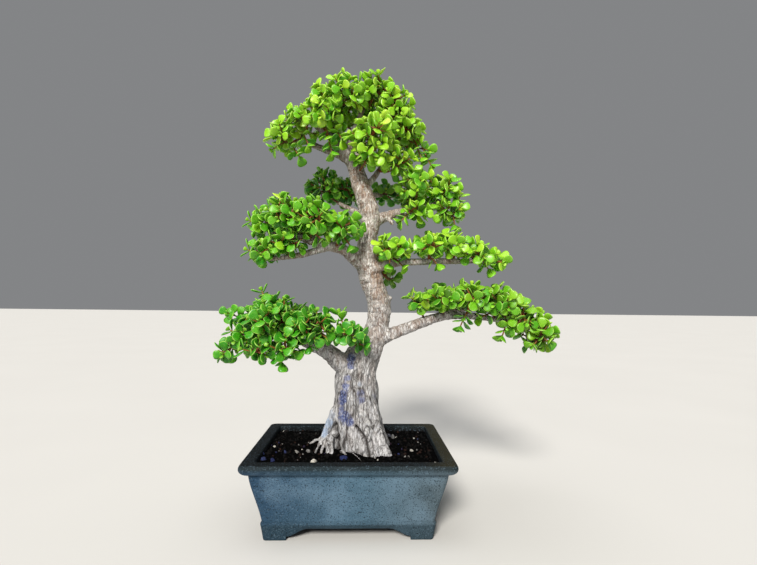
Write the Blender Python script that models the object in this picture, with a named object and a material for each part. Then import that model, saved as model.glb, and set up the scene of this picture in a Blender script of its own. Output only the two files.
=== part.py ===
"""Dwarf jade bonsai in a rectangular stoneware pot.

Metres, +Z up, -Y to the front. Everything is laid out round the middle of the pot's base, and the whole
is then shifted so that the middle of its footprint lies at the origin.
"""

import math
from random import Random

import bmesh
import bpy
from mathutils import Matrix, Vector, noise
from mathutils.bvhtree import BVHTree

MM = 0.001
UP = Vector((0.0, 0.0, 1.0))

# Pot
POT_WIDTH = 270 * MM
POT_DEPTH = 207 * MM
POT_HEIGHT = 100 * MM
RIM_CORNER = 9 * MM
CORNER_TAPER = 0.18
CORNER_LEAST = 3.5 * MM
RIM_EASE = 4 * MM
RIM_LIP = 8 * MM
RIM_LIP_DROP = 13 * MM
LIP_ROUND = 7.5 * MM
RIM_TOP_WIDTH = 17.5 * MM
NECK_INSET = 10.5 * MM
NECK_HEIGHT = 84 * MM
BODY_CURVE = 0.4
WALL = 7.5 * MM
BELT_TOP = 22 * MM
BELT_STEP = 1.6 * MM
BODY_FOOT_INSET = 26 * MM
BASE_INSET = 28 * MM
BASE_BEVEL = 1.2 * MM
FLOOR_TOP = 23 * MM
FLOOR_UNDER = 15 * MM
SKIRT = 13 * MM
FOOT_GAP_HEIGHT = 13.7 * MM
FOOT_STEP = 4.5 * MM
LONG_GAP = (52 * MM, 78 * MM)
SHORT_GAP = (24 * MM, 48 * MM)
DRAIN_RADIUS = 10 * MM
DRAIN_X = 58 * MM

# Soil and screens
FIT_GAP = 0.4 * MM
SOIL_EDGE = 93 * MM
SOIL_BEVEL = 1.2 * MM
SOIL_MOUND = 3.5 * MM
MOUND_SPREAD = 1.15
SOIL_ROUGH = 0.9 * MM
SOIL_LUMP = 11 * MM
SCREEN_SIZE = 36 * MM
SCREEN_THICK = 1.2 * MM
SCREEN_HOLES = 3
SCREEN_HOLE = 8 * MM

# Trunk: x, y, z and the radii across and front to back, in millimetres
TRUNK = (
    (8, -4, 96, 34, 33),
    (8, -4, 112, 34, 33),
    (8, -4, 130, 34, 33),
    (7, -3, 150, 33, 32),
    (6, -2, 172, 31.5, 31),
    (6, 0, 194, 29, 29),
    (12, 1, 214, 26.5, 26.5),
    (24, 3, 238, 20.5, 22),
    (34, 4, 258, 17, 18),
    (38, 5, 275, 16.5, 17),
    (38, 5, 295, 16.8, 17),
    (31, 4, 321, 17, 17),
    (24, 2, 344, 17, 17),
    (19, 0, 364, 16, 16.5),
    (18, -2, 380, 14.2, 15),
    (20, -3, 396, 13, 14),
    (24, -3, 414, 14, 14),
    (21, -2, 436, 14.5, 14),
    (15, 0, 455, 13.3, 13.3),
    (9, 2, 473, 12.8, 12.8),
    (3, 3, 490, 12, 12),
    (-3, 4, 506, 10.5, 10.5),
    (-9, 5, 518, 7.5, 7.5),
)
TRUNK_RINGS = 30
TRUNK_SIDES = 32
ROOT_LINE = 96
UPRIGHT_TO = 116
LEAN_OVER = 60
PLUG_FOOT = 64
PLUG_BEVEL = 8
PLUG_NARROW = 0.86
HOLE_FOOT = 63
HOLE_GAP = 0.6 * MM

# Slow swellings of old wood: share of the radius, number of lumps round the trunk and height of one in mm
KNUCKLE = 0.07
KNUCKLE_TURNS = 1.7
KNUCKLE_HEIGHT = 34

# Root swellings: bearing and half width in degrees, reach at the soil and height where each starts, in mm
ROOTS = (
    (-43, 15, 31, 74),
    (-70, 12, 23, 60),
    (-172, 20, 12, 60),
    (147, 10, 36, 42),
    (100, 22, 16, 55),
    (52, 18, 20, 60),
    (8, 18, 15, 55),
)
ROOT_FALL = 1.8

# Branches: x, y, z and radius along each, in millimetres
BRANCHES = {
    "low_left": (
        (-2, -2, 200, 14), (-18, -8, 214, 13.5), (-35, -14, 229, 12.5), (-56, -18, 242, 11),
        (-78, -20, 252, 9.5), (-100, -20, 256, 7.5), (-125, -20, 256, 5.5), (-150, -22, 250, 3.5),
    ),
    "low_left_back": ((-54, -16, 241, 6), (-72, 4, 252, 4.6), (-98, 24, 261, 3.2)),
    "low_left_front": ((-60, -18, 244, 5.5), (-74, -34, 250, 4.2), (-90, -48, 252, 3)),
    "low_right": (
        (28, 2, 240, 13.5), (46, -2, 250, 10.5), (66, -6, 258, 8.8), (90, -9, 267, 7.8),
        (116, -11, 277, 7), (142, -12, 282, 6.2), (168, -13, 281, 5.2), (196, -14, 278, 4.4),
        (226, -16, 271, 3.6), (256, -20, 256, 2.8),
    ),
    "low_right_back": ((112, -11, 276, 5), (132, 8, 284, 4), (164, 22, 290, 3.2), (198, 26, 292, 2.6)),
    "mid_left": (
        (18, 0, 350, 11), (2, -6, 362, 9.5), (-14, -12, 374, 8.2), (-32, -16, 379, 7.5),
        (-50, -18, 383, 6.5), (-72, -20, 390, 5.5), (-96, -22, 396, 4.2), (-120, -24, 398, 3),
    ),
    "mid_left_low": (
        (-34, -16, 378, 5.5), (-52, -18, 372, 4.8), (-70, -20, 366, 4.4), (-90, -22, 362, 4),
        (-118, -25, 358, 3),
    ),
    "mid_left_back": ((-30, -15, 379, 5), (-50, 8, 391, 4), (-80, 26, 402, 2.8)),
    "mid_right": (
        (22, -3, 344, 9), (36, -10, 350, 7.2), (54, -14, 355, 6), (76, -17, 357, 5.4),
        (100, -19, 358, 5), (126, -20, 359, 4.5), (152, -21, 359, 4), (178, -22, 360, 3.3),
        (200, -22, 361, 2.6),
    ),
    "upper_right": (
        (22, -3, 412, 10.5), (40, 2, 424, 8.5), (58, 6, 431, 7.2), (76, 10, 436, 6.2),
        (98, 12, 441, 5.2), (118, 12, 447, 4.2), (134, 12, 455, 3),
    ),
    "riser": ((10, 3, 464, 6.5), (24, 8, 480, 4.8), (34, 14, 496, 4), (44, 20, 514, 3)),
    "back_right": ((14, 4, 456, 6), (26, 26, 464, 4.6), (42, 50, 470, 3.2)),
    "back_left": ((20, 0, 426, 7), (8, 22, 434, 5), (-8, 44, 446, 4.2), (-28, 62, 460, 3)),
    "back_low": ((30, 6, 330, 6), (38, 28, 344, 4.2), (42, 44, 358, 3)),
    "apex_low": (
        (-6, 5, 510, 8), (-22, 8, 520, 6.5), (-40, 10, 526, 5.4), (-60, 8, 533, 4.4), (-84, 4, 541, 3.2),
    ),
    "apex_up": (
        (-6, 4, 510, 8), (-16, -2, 524, 6.5), (-30, -6, 537, 5.6), (-48, -9, 550, 4.6), (-62, -10, 560, 3.4),
    ),
    "apex_top": ((-7, 4, 512, 7.5), (-6, 0, 540, 5.6), (2, -3, 564, 4.4), (12, -6, 586, 3)),
    "apex_right": ((-6, 4, 508, 7), (14, 2, 526, 5.4), (36, 0, 544, 4.2), (58, -2, 558, 3)),
    "apex_back": ((-8, 6, 514, 6), (4, 24, 540, 4.6), (22, 36, 562, 3.8), (46, 40, 576, 2.8)),
}
THICK_BRANCH = 7
BRANCH_STEP = 17
BRANCH_KNUCKLE = 0.08
BRANCH_LUMP = 23

# Leafy sprays: the middle of each leaf mass, then its half width, half depth and half height, in millimetres
DEPTH_STRETCH = 1.15
SPRAYS = {
    "low_left": (
        (-144, -26, 256, 22, 30, 29), (-105, -46, 271, 29, 30, 34), (-88, -56, 239, 20, 20, 20),
        (-54, -50, 264, 25, 26, 25), (-6, -42, 257, 21, 20, 12), (-136, 26, 268, 30, 30, 30),
        (-84, 36, 270, 31, 28, 24), (-171, -26, 229, 7, 14, 12), (-122, -50, 234, 20, 22, 15),
    ),
    "low_right": (
        (95, -8, 301, 16, 20, 9), (128, -30, 305, 22, 28, 14), (136, 24, 308, 22, 28, 16),
        (166, -22, 308, 24, 34, 17), (205, -26, 303, 23, 30, 17), (212, 28, 304, 24, 28, 18),
        (237, -22, 278, 24, 32, 23), (265, -18, 253, 19, 32, 23),
    ),
    "mid_left": (
        (-123, -22, 409, 22, 32, 22), (-90, -42, 417, 25, 28, 24), (-55, -46, 412, 24, 26, 25),
        (-14, -42, 402, 24, 22, 18), (-124, -26, 368, 21, 28, 16), (-90, -34, 379, 24, 24, 17),
        (-102, 32, 422, 29, 28, 23), (-56, 34, 424, 25, 26, 22),
    ),
    "mid_right": (
        (54, -24, 374, 25, 28, 14), (106, -34, 379, 19, 24, 13), (112, 22, 384, 20, 26, 14),
        (144, -20, 382, 21, 34, 16), (173, -23, 368, 18, 30, 14), (207, -20, 361, 8, 14, 9),
    ),
    "upper_right": (
        (92, -2, 470, 22, 32, 20), (130, 10, 470, 22, 32, 20), (141, 6, 437, 17, 28, 18),
        (92, -4, 434, 13, 20, 15), (91, 44, 458, 20, 24, 19),
    ),
    "back": (
        (-50, 70, 486, 26, 28, 22), (-16, 82, 480, 22, 24, 24), (52, 70, 477, 21, 26, 14),
        (42, 54, 374, 12, 18, 16), (55, 44, 338, 10, 10, 10),
    ),
    "apex": (
        (-104, -2, 541, 17, 28, 18), (-78, -12, 557, 22, 30, 21), (-44, -26, 566, 23, 28, 24),
        (-46, 0, 601, 17, 30, 16), (-13, -16, 599, 26, 34, 22), (26, -6, 607, 27, 38, 23),
        (57, -6, 584, 24, 38, 27), (76, -4, 550, 21, 36, 28), (62, -16, 503, 20, 28, 22),
        (22, -44, 533, 27, 24, 25), (-36, 46, 598, 32, 26, 28), (28, 54, 596, 38, 28, 32),
        (70, 48, 562, 26, 26, 29), (20, -34, 506, 22, 24, 17),
    ),
}

# Shoots and leaves
SEED = 41
WOOD_GAP = 0.35 * MM
SPRAY_GAP = 0.35 * MM
TWIG_RADII = (1.9 * MM, 1.4 * MM)
TWIG_STEPS = 3
TWIG_APART = 4.5 * MM
TWIG_STUB = 1.8 * MM
TWIG_BEND = (0.35, 0.4)
HUB_DROP = 0.35
HUB_STRAY = 1 / 90
BASE_SEARCH = 2.5 * MM
SHOOT_RADII = (1.25 * MM, 1.1 * MM)
SHOOT_TURN = 37
SHOOT_STEPS = 8
SHOOT_SHORTEST = 13 * MM
SHOOT_EASE = (0.17, 0.33)
TIP_STRAIGHT = 0.7
TIP_RISE = 0.35
FORKS = (0.7, 0.5, 0.3)
FORK_STEP = 0.12
LOWEST_RAY = -0.55
RAY_RISE = 0.1
WELL_INSIDE = 0.85
BIG_SPRAY = 36 * MM
SHOOTS_BIG = 3
SHOOTS_SMALL = 2
PAIRS = 2
PAIR_STEP = 8 * MM
PAIR_HEIGHT = 2.2 * MM
LEAF_LENGTH = (13.5 * MM, 17 * MM)
LEAF_WIDTH_SHARE = 0.88
LEAF_THICK = 2.5 * MM
LEAF_WIDEST = 0.6
LEAF_END_SHARE = 0.5
LEAF_LEAN = (50, 66)
LEAF_NUDGES = ((0, 0), (22, 0), (-22, 0), (0, -16), (0, 14), (40, -10), (-40, -10))
FOOT_CLEAR = 0.3

COLOURS = {
    "stoneware": ((0.150, 0.205, 0.255), 0.72),
    "screen": ((0.020, 0.022, 0.020), 0.6),
    "soil": ((0.020, 0.016, 0.014), 0.95),
    "bark": ((0.330, 0.285, 0.240), 0.85),
    "leaf": ((0.200, 0.420, 0.045), 0.38),
}


def mm(x, y, z):
    """A point given in millimetres."""
    return Vector((x, y, z)) * MM


def material(name):
    """The named finish, made on first use."""
    found = bpy.data.materials.get(name)
    if found:
        return found
    colour, roughness = COLOURS[name]
    made = bpy.data.materials.new(name)
    made.use_nodes = True
    made.diffuse_color = (*colour, 1.0)
    shader = made.node_tree.nodes["Principled BSDF"]
    shader.inputs["Base Color"].default_value = (*colour, 1.0)
    shader.inputs["Roughness"].default_value = roughness
    shader.inputs["Metallic"].default_value = 0.0
    return made


def add_object(name, bm, finish=None, crease=40):
    """Turns a bmesh into an object of the scene, with its faces pointing out."""
    bmesh.ops.recalc_face_normals(bm, faces=bm.faces)
    mesh = bpy.data.meshes.new(name)
    bm.to_mesh(mesh)
    bm.free()
    mesh.shade_smooth()
    mesh.set_sharp_from_angle(angle=math.radians(crease))
    obj = bpy.data.objects.new(name, mesh)
    bpy.context.scene.collection.objects.link(obj)
    if finish:
        mesh.materials.append(material(finish))
    return obj


def loft(bm, rings):
    """Skins closed rings of points in order and caps both ends."""
    loops = [[bm.verts.new(point) for point in ring] for ring in rings]
    for low, high in zip(loops, loops[1:]):
        for i in range(len(low)):
            j = (i + 1) % len(low)
            bm.faces.new((low[i], low[j], high[j], high[i]))
    bm.faces.new(list(reversed(loops[0])))
    bm.faces.new(loops[-1])


def as_cutter(obj):
    """Hides a cutting shape from the finished object."""
    obj.hide_render = True
    obj.display_type = "WIRE"
    return obj


def cut(obj, cutter):
    """Takes the cutter's shape out of an object."""
    step = obj.modifiers.new("cut_" + cutter.name, "BOOLEAN")
    step.operation = "DIFFERENCE"
    step.solver = "EXACT"
    step.object = as_cutter(cutter)


def smooth(share):
    """Eases 0 to 1 with level ends."""
    share = min(1.0, max(0.0, share))
    return share * share * (3 - 2 * share)


def between(pairs, x):
    """Reads a value at x from pairs (x, value) with straight lines between them."""
    for (x0, v0), (x1, v1) in zip(pairs, pairs[1:]):
        if min(x0, x1) <= x <= max(x0, x1):
            return v0 + (v1 - v0) * (x - x0) / (x1 - x0)
    return pairs[0][1] if abs(x - pairs[0][0]) < abs(x - pairs[-1][0]) else pairs[-1][1]


# Pot


def box_ring(inset, height, corner_steps=4, side_steps=(1, 1)):
    """A rounded rectangle of points, inset from the rim's widest outline."""
    radius = max(CORNER_LEAST, RIM_CORNER - CORNER_TAPER * inset)
    half = (POT_WIDTH / 2 - inset, POT_DEPTH / 2 - inset)
    corners = []
    for quarter in range(4):
        side_x = 1 if quarter in (0, 3) else -1
        side_y = 1 if quarter in (0, 1) else -1
        middle = Vector((side_x * (half[0] - radius), side_y * (half[1] - radius), height))
        turns = [math.radians(90 * (quarter + k / corner_steps)) for k in range(corner_steps + 1)]
        corners.append([middle + Vector((math.cos(t), math.sin(t), 0.0)) * radius for t in turns])
    ring = []
    for quarter, corner in enumerate(corners):
        ring += corner
        start, end = corner[-1], corners[(quarter + 1) % 4][0]
        steps = side_steps[quarter % 2]
        ring += [start.lerp(end, k / steps) for k in range(1, steps)]
    return ring


def body_inset(height):
    """How far the outer wall lies inside the rim's outline: a line blended with a soft curve."""
    share = (NECK_HEIGHT - height) / (NECK_HEIGHT - BELT_TOP)
    swing = (1 - BODY_CURVE) * min(1.0, max(0.0, share)) + BODY_CURVE * smooth(share)
    return NECK_INSET + (BODY_FOOT_INSET - NECK_INSET) * swing


def outer_profile():
    """Height and inset down the outside of the pot, from the rim to the foot."""
    profile = [(POT_HEIGHT, RIM_EASE)]
    widest = POT_HEIGHT - RIM_LIP_DROP + LIP_ROUND
    for degrees in (-48, -22, 0, 30, 60, 90):
        angle = math.radians(degrees)
        profile.append((widest - LIP_ROUND * math.sin(angle), RIM_LIP * (1 - math.cos(angle))))
    for share in (0, 0.2, 0.4, 0.6, 0.8, 0.97):
        height = NECK_HEIGHT - share * (NECK_HEIGHT - BELT_TOP)
        profile.append((height, body_inset(height)))
    belt = BODY_FOOT_INSET - BELT_STEP
    profile += [(BELT_TOP, belt), (BELT_TOP - 2 * MM, belt)]
    profile += [(BASE_BEVEL, BASE_INSET - 0.8 * MM), (0.0, BASE_INSET)]
    return profile


def inner_profile():
    """Height and inset down the inside of the pot, from the rim to the floor."""
    profile = [(POT_HEIGHT, RIM_TOP_WIDTH - 2 * MM), (POT_HEIGHT - 1.4 * MM, RIM_TOP_WIDTH)]
    profile.append((NECK_HEIGHT + 2 * MM, NECK_INSET + WALL + 0.6 * MM))
    for height in (72 * MM, 58 * MM, 45 * MM, 33 * MM):
        profile.append((height, body_inset(height) + WALL))
    profile += [(26 * MM, BODY_FOOT_INSET + WALL), (FLOOR_TOP, BODY_FOOT_INSET + WALL + 4 * MM)]
    return profile


def foot_cutter(name, gap, along, half_length):
    """The space between two feet: level on top, with a soft shoulder and a small step at each foot."""
    level, wide = gap
    rise = FOOT_GAP_HEIGHT - FOOT_STEP
    side = [(wide, -5 * MM), (wide, FOOT_STEP)]
    for share in (0.2, 0.45, 0.7, 0.9, 1.0):
        side.append((wide + (level - wide) * share, FOOT_STEP + rise * smooth(share)))
    outline = [(-x, z) for x, z in side] + [(x, z) for x, z in reversed(side)]
    rings = []
    for end in (-half_length, half_length):
        if along == "y":
            rings.append([Vector((x, end, z)) for x, z in outline])
        else:
            rings.append([Vector((end, x, z)) for x, z in outline])
    bm = bmesh.new()
    loft(bm, rings)
    return add_object(name, bm)


def drum(name, radius, x, low, high, sides=20):
    """An upright round bar."""
    turns = [math.tau * k / sides for k in range(sides)]
    bm = bmesh.new()
    loft(bm, [
        [Vector((x + radius * math.cos(t), radius * math.sin(t), z)) for t in turns]
        for z in (low, high)
    ])
    return add_object(name, bm)


def make_pot():
    """The pot as one skin from the hollow under its floor, over the rim, to the inside of its floor."""
    under = [(FLOOR_UNDER, BASE_INSET + SKIRT), (0.0, BASE_INSET + SKIRT - 1 * MM)]
    profile = under + list(reversed(outer_profile())) + inner_profile()
    bm = bmesh.new()
    loft(bm, [box_ring(inset, height) for height, inset in profile])
    pot = add_object("pot", bm, "stoneware", crease=35)
    cut(pot, foot_cutter("gap_front", LONG_GAP, "y", POT_DEPTH / 2))
    cut(pot, foot_cutter("gap_side", SHORT_GAP, "x", POT_WIDTH / 2))
    for side, x in (("left", -DRAIN_X), ("right", DRAIN_X)):
        cut(pot, drum("drain_" + side, DRAIN_RADIUS, x, FLOOR_UNDER - 4 * MM, FLOOR_TOP + 4 * MM))
    return pot


# Soil and screens


def soil_level(x, y):
    """Height of the soil at a place: a low mound towards the trunk, with a rough grain."""
    away = math.hypot(x / (POT_WIDTH / 2), y / (POT_DEPTH / 2))
    grain = noise.noise(Vector((x, y, 0.0)) / SOIL_LUMP)
    return SOIL_EDGE + SOIL_MOUND * smooth(MOUND_SPREAD - away) + SOIL_ROUGH * grain


def soil_ring(inset, height):
    """A rounded rectangle with as many points as a trunk outline has."""
    return box_ring(inset, height, corner_steps=3, side_steps=(6, 4))


def make_soil():
    """Potting mix that fills the pot, with a plain hole for the root base and a bed for each screen."""
    walls = inner_profile()
    heights = sorted(height for height, _ in walls if FLOOR_TOP < height < SOIL_EDGE)
    rings = [
        soil_ring(between(walls, height) + FIT_GAP, height)
        for height in [FLOOR_TOP + FIT_GAP] + heights + [SOIL_EDGE - SOIL_BEVEL]
    ]
    rim = soil_ring(between(walls, SOIL_EDGE) + SOIL_BEVEL, SOIL_EDGE)
    hole = trunk_ring(TRUNK[0], HOLE_GAP)
    first = round(math.degrees(math.atan2(rim[0].y, rim[0].x)) * TRUNK_SIDES / 360)
    hole = hole[first:] + hole[:first]
    for share in (0.0, 0.3, 0.55, 0.8, 1.0):
        ring = [edge.lerp(inner, share) for edge, inner in zip(rim, hole)]
        rings.append([Vector((p.x, p.y, soil_level(p.x, p.y) if share else SOIL_EDGE)) for p in ring])
    rings.append([Vector((p.x, p.y, HOLE_FOOT * MM)) for p in hole])
    bm = bmesh.new()
    loft(bm, rings)
    soil = add_object("soil", bm, "soil", crease=40)
    for side, x in (("left", -DRAIN_X), ("right", DRAIN_X)):
        half = SCREEN_SIZE / 2 + FIT_GAP
        cut(soil, slab("bed_" + side, x, half, FLOOR_TOP - 2 * MM, FLOOR_TOP + SCREEN_THICK + 3 * FIT_GAP))
    return soil


def slab(name, x, half, low, high):
    """A square plate centred on x."""
    corners = ((-half, -half), (half, -half), (half, half), (-half, half))
    bm = bmesh.new()
    loft(bm, [[Vector((x + cx, cy, z)) for cx, cy in corners] for z in (low, high)])
    return add_object(name, bm)


def make_screen(side, x):
    """A square of plastic mesh over a drain hole."""
    low = FLOOR_TOP + FIT_GAP
    screen = slab("drain_screen_" + side, x, SCREEN_SIZE / 2, low, low + SCREEN_THICK)
    screen.data.materials.append(material("screen"))
    pitch = SCREEN_SIZE / SCREEN_HOLES
    half = SCREEN_HOLE / 2
    corners = ((-half, -half), (half, -half), (half, half), (-half, half))
    bm = bmesh.new()
    for i in range(SCREEN_HOLES):
        for j in range(SCREEN_HOLES):
            cx = x + (i - (SCREEN_HOLES - 1) / 2) * pitch
            cy = (j - (SCREEN_HOLES - 1) / 2) * pitch
            loft(bm, [
                [Vector((cx + px, cy + py, z)) for px, py in corners]
                for z in (low - 1 * MM, low + SCREEN_THICK + 1 * MM)
            ])
    cut(screen, add_object("screen_holes_" + side, bm))
    return screen


# Wood


def spline(points, count):
    """Evenly spread points on a smooth curve through rows of numbers."""
    ends = [points[0]] + list(points) + [points[-1]]
    fine = []
    for a, b, c, d in zip(ends, ends[1:], ends[2:], ends[3:]):
        for k in range(8):
            t = k / 8
            fine.append([
                (2 * q + t * (r - p + t * (2 * p - 5 * q + 4 * r - s + t * (3 * q - p - 3 * r + s)))) / 2
                for p, q, r, s in zip(a, b, c, d)
            ])
    fine.append(list(points[-1]))
    run = [0.0]
    for one, two in zip(fine, fine[1:]):
        run.append(run[-1] + math.dist(one[:3], two[:3]))
    rows = []
    for k in range(count):
        goal = run[-1] * k / (count - 1)
        i = next(n for n in range(1, len(run)) if run[n] >= goal - 1e-9)
        share = (goal - run[i - 1]) / (run[i] - run[i - 1])
        rows.append([p + (q - p) * share for p, q in zip(fine[i - 1], fine[i])])
    return rows


def root_reach(bearing, height):
    """How far the root swellings push the trunk out, in millimetres, at a bearing in degrees."""
    reach = 0.0
    for middle, half_width, length, start in ROOTS:
        off = (bearing - middle + 180) % 360 - 180
        rise = max(0.0, 1 - max(0.0, height - ROOT_LINE) / start)
        reach += length * math.exp(-((off / half_width) ** 2)) * rise ** ROOT_FALL
    return reach


def knuckle(bearing, height):
    """Slow swellings of old wood, as a share of the radius."""
    turn = math.radians(bearing)
    place = Vector((math.cos(turn), math.sin(turn), height / KNUCKLE_HEIGHT))
    return KNUCKLE * noise.noise(place * KNUCKLE_TURNS)


def trunk_ring(row, extra=0.0):
    """One level outline of the trunk, from a row of TRUNK's kind, with a clearance added all round."""
    x, y, z, across, deep = row
    ring = []
    for k in range(TRUNK_SIDES):
        bearing = 360 * k / TRUNK_SIDES
        turn = math.radians(bearing)
        swell = 1 + knuckle(bearing, z)
        out = root_reach(bearing, z) + extra / MM
        ring.append(mm(
            x + (across * swell + out) * math.cos(turn),
            y + (deep * swell + out) * math.sin(turn),
            z,
        ))
    return ring


def tilted(ring, middle, along):
    """Leans a level ring about its middle until it lies square to a direction."""
    turn = UP.rotation_difference(along)
    return [middle + turn @ (point - middle) for point in ring]


def make_trunk():
    """Root base, flare and trunk as one skin."""
    rows = spline(TRUNK, TRUNK_RINGS)
    foot = trunk_ring(TRUNK[0])
    middle = mm(*TRUNK[0][:3])
    narrow = [middle + (point - middle) * PLUG_NARROW for point in foot]
    rings = [
        [Vector((p.x, p.y, PLUG_FOOT * MM)) for p in narrow],
        [Vector((p.x, p.y, (PLUG_FOOT + PLUG_BEVEL) * MM)) for p in foot],
    ]
    for i, row in enumerate(rows):
        before, after = rows[max(0, i - 1)], rows[min(len(rows) - 1, i + 1)]
        along = mm(*after[:3]) - mm(*before[:3])
        lean = smooth((row[2] - UPRIGHT_TO) / LEAN_OVER)
        along = UP.lerp(along.normalized(), lean).normalized()
        rings.append(tilted(trunk_ring(row), mm(*row[:3]), along))
    bm = bmesh.new()
    loft(bm, rings)
    return add_object("wood", bm, "bark", crease=60)


def tube_rings(points, radii, sides, guide=None):
    """Rings of points along a route, each square to the route and none twisted against the last."""
    rings = []
    for i, (point, radius) in enumerate(zip(points, radii)):
        along = (points[min(len(points) - 1, i + 1)] - points[max(0, i - 1)]).normalized()
        guide = guide or along.orthogonal()
        guide = (guide - along * guide.dot(along)).normalized()
        other = along.cross(guide)
        rings.append([
            point + (guide * math.cos(t) + other * math.sin(t)) * radius
            for t in (math.tau * (k + 0.5) / sides for k in range(sides))
        ])
    return rings


def make_branch(name, rows):
    """One branch as a tapering tube with a blunt tip."""
    count = max(4, round(math.dist(rows[0][:3], rows[-1][:3]) / BRANCH_STEP))
    path = spline(rows, count)
    points = [mm(*row[:3]) for row in path]
    radii = [
        row[3] * MM * (1 + BRANCH_KNUCKLE * noise.noise(Vector(row[:3]) / BRANCH_LUMP))
        for row in path
    ]
    tip = (points[-1] - points[-2]).normalized()
    points.append(points[-1] + tip * radii[-1] * 0.7)
    radii.append(radii[-1] / 2)
    sides = 8 if rows[0][3] > THICK_BRANCH else 6
    bm = bmesh.new()
    loft(bm, tube_rings(points, radii, sides))
    return add_object("branch_" + name, bm)


def join(obj, pieces):
    """Joins pieces to an object in one Boolean union, applies it and removes the pieces."""
    group = bpy.data.collections.new("pieces_of_" + obj.name)
    for piece in pieces:
        for home in list(piece.users_collection):
            home.objects.unlink(piece)
        group.objects.link(piece)
    bpy.context.scene.collection.children.link(group)
    step = obj.modifiers.new("join", "BOOLEAN")
    step.operation = "UNION"
    step.operand_type = "COLLECTION"
    step.solver = "EXACT"
    step.collection = group
    seen = obj.evaluated_get(bpy.context.evaluated_depsgraph_get())
    joined = bpy.data.meshes.new_from_object(seen)
    obj.modifiers.clear()
    joined.name = obj.name
    obj.data = joined
    for piece in list(group.objects):
        bpy.data.objects.remove(piece)
    bpy.data.collections.remove(group)
    return obj


def make_wood():
    """Trunk and branches, joined into one solid."""
    return join(make_trunk(), [make_branch(name, rows) for name, rows in BRANCHES.items()])


# Foliage


def bezier(a, b, c, d, steps):
    """Points along a curve with two handles."""
    route = []
    for k in range(steps + 1):
        t = k / steps
        route.append(a * (1 - t) ** 3 + b * 3 * t * (1 - t) ** 2 + c * 3 * t * t * (1 - t) + d * t ** 3)
    return route


def place_on(route, share):
    """The point and direction at a share of a route."""
    place = share * (len(route) - 1)
    i = min(len(route) - 2, int(place))
    step = route[i + 1] - route[i]
    return route[i] + step * (place - i), step.normalized()


def place_back(route, distance):
    """The point at a distance back from a route's tip, or nothing where the route is too short."""
    backward = list(reversed(route))
    for near, far in zip(backward, backward[1:]):
        step = far - near
        if distance <= step.length:
            return near + step.normalized() * distance
        distance -= step.length
    return None


def mixed(pair, share):
    """A value between the two of a pair."""
    return pair[0] + (pair[1] - pair[0]) * share


def leaf_faces(bm, foot, corners):
    """Adds a leaf's skin, from the four points of its foot on the stem to its six free corners."""
    low_a, low_b, high_b, high_a = foot
    left, right, crown, keel, end_left, end_right = [bm.verts.new(point) for point in corners]
    bm.faces.new((low_a, low_b, keel))
    bm.faces.new((low_b, high_b, right))
    bm.faces.new((high_b, high_a, crown))
    bm.faces.new((high_a, low_a, left))
    bm.faces.new((low_a, keel, left))
    bm.faces.new((low_b, right, keel))
    bm.faces.new((high_b, crown, right))
    bm.faces.new((high_a, left, crown))
    for middle in (crown, keel):
        bm.faces.new((left, middle, end_left))
        bm.faces.new((middle, end_right, end_left))
        bm.faces.new((middle, right, end_right))


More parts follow.
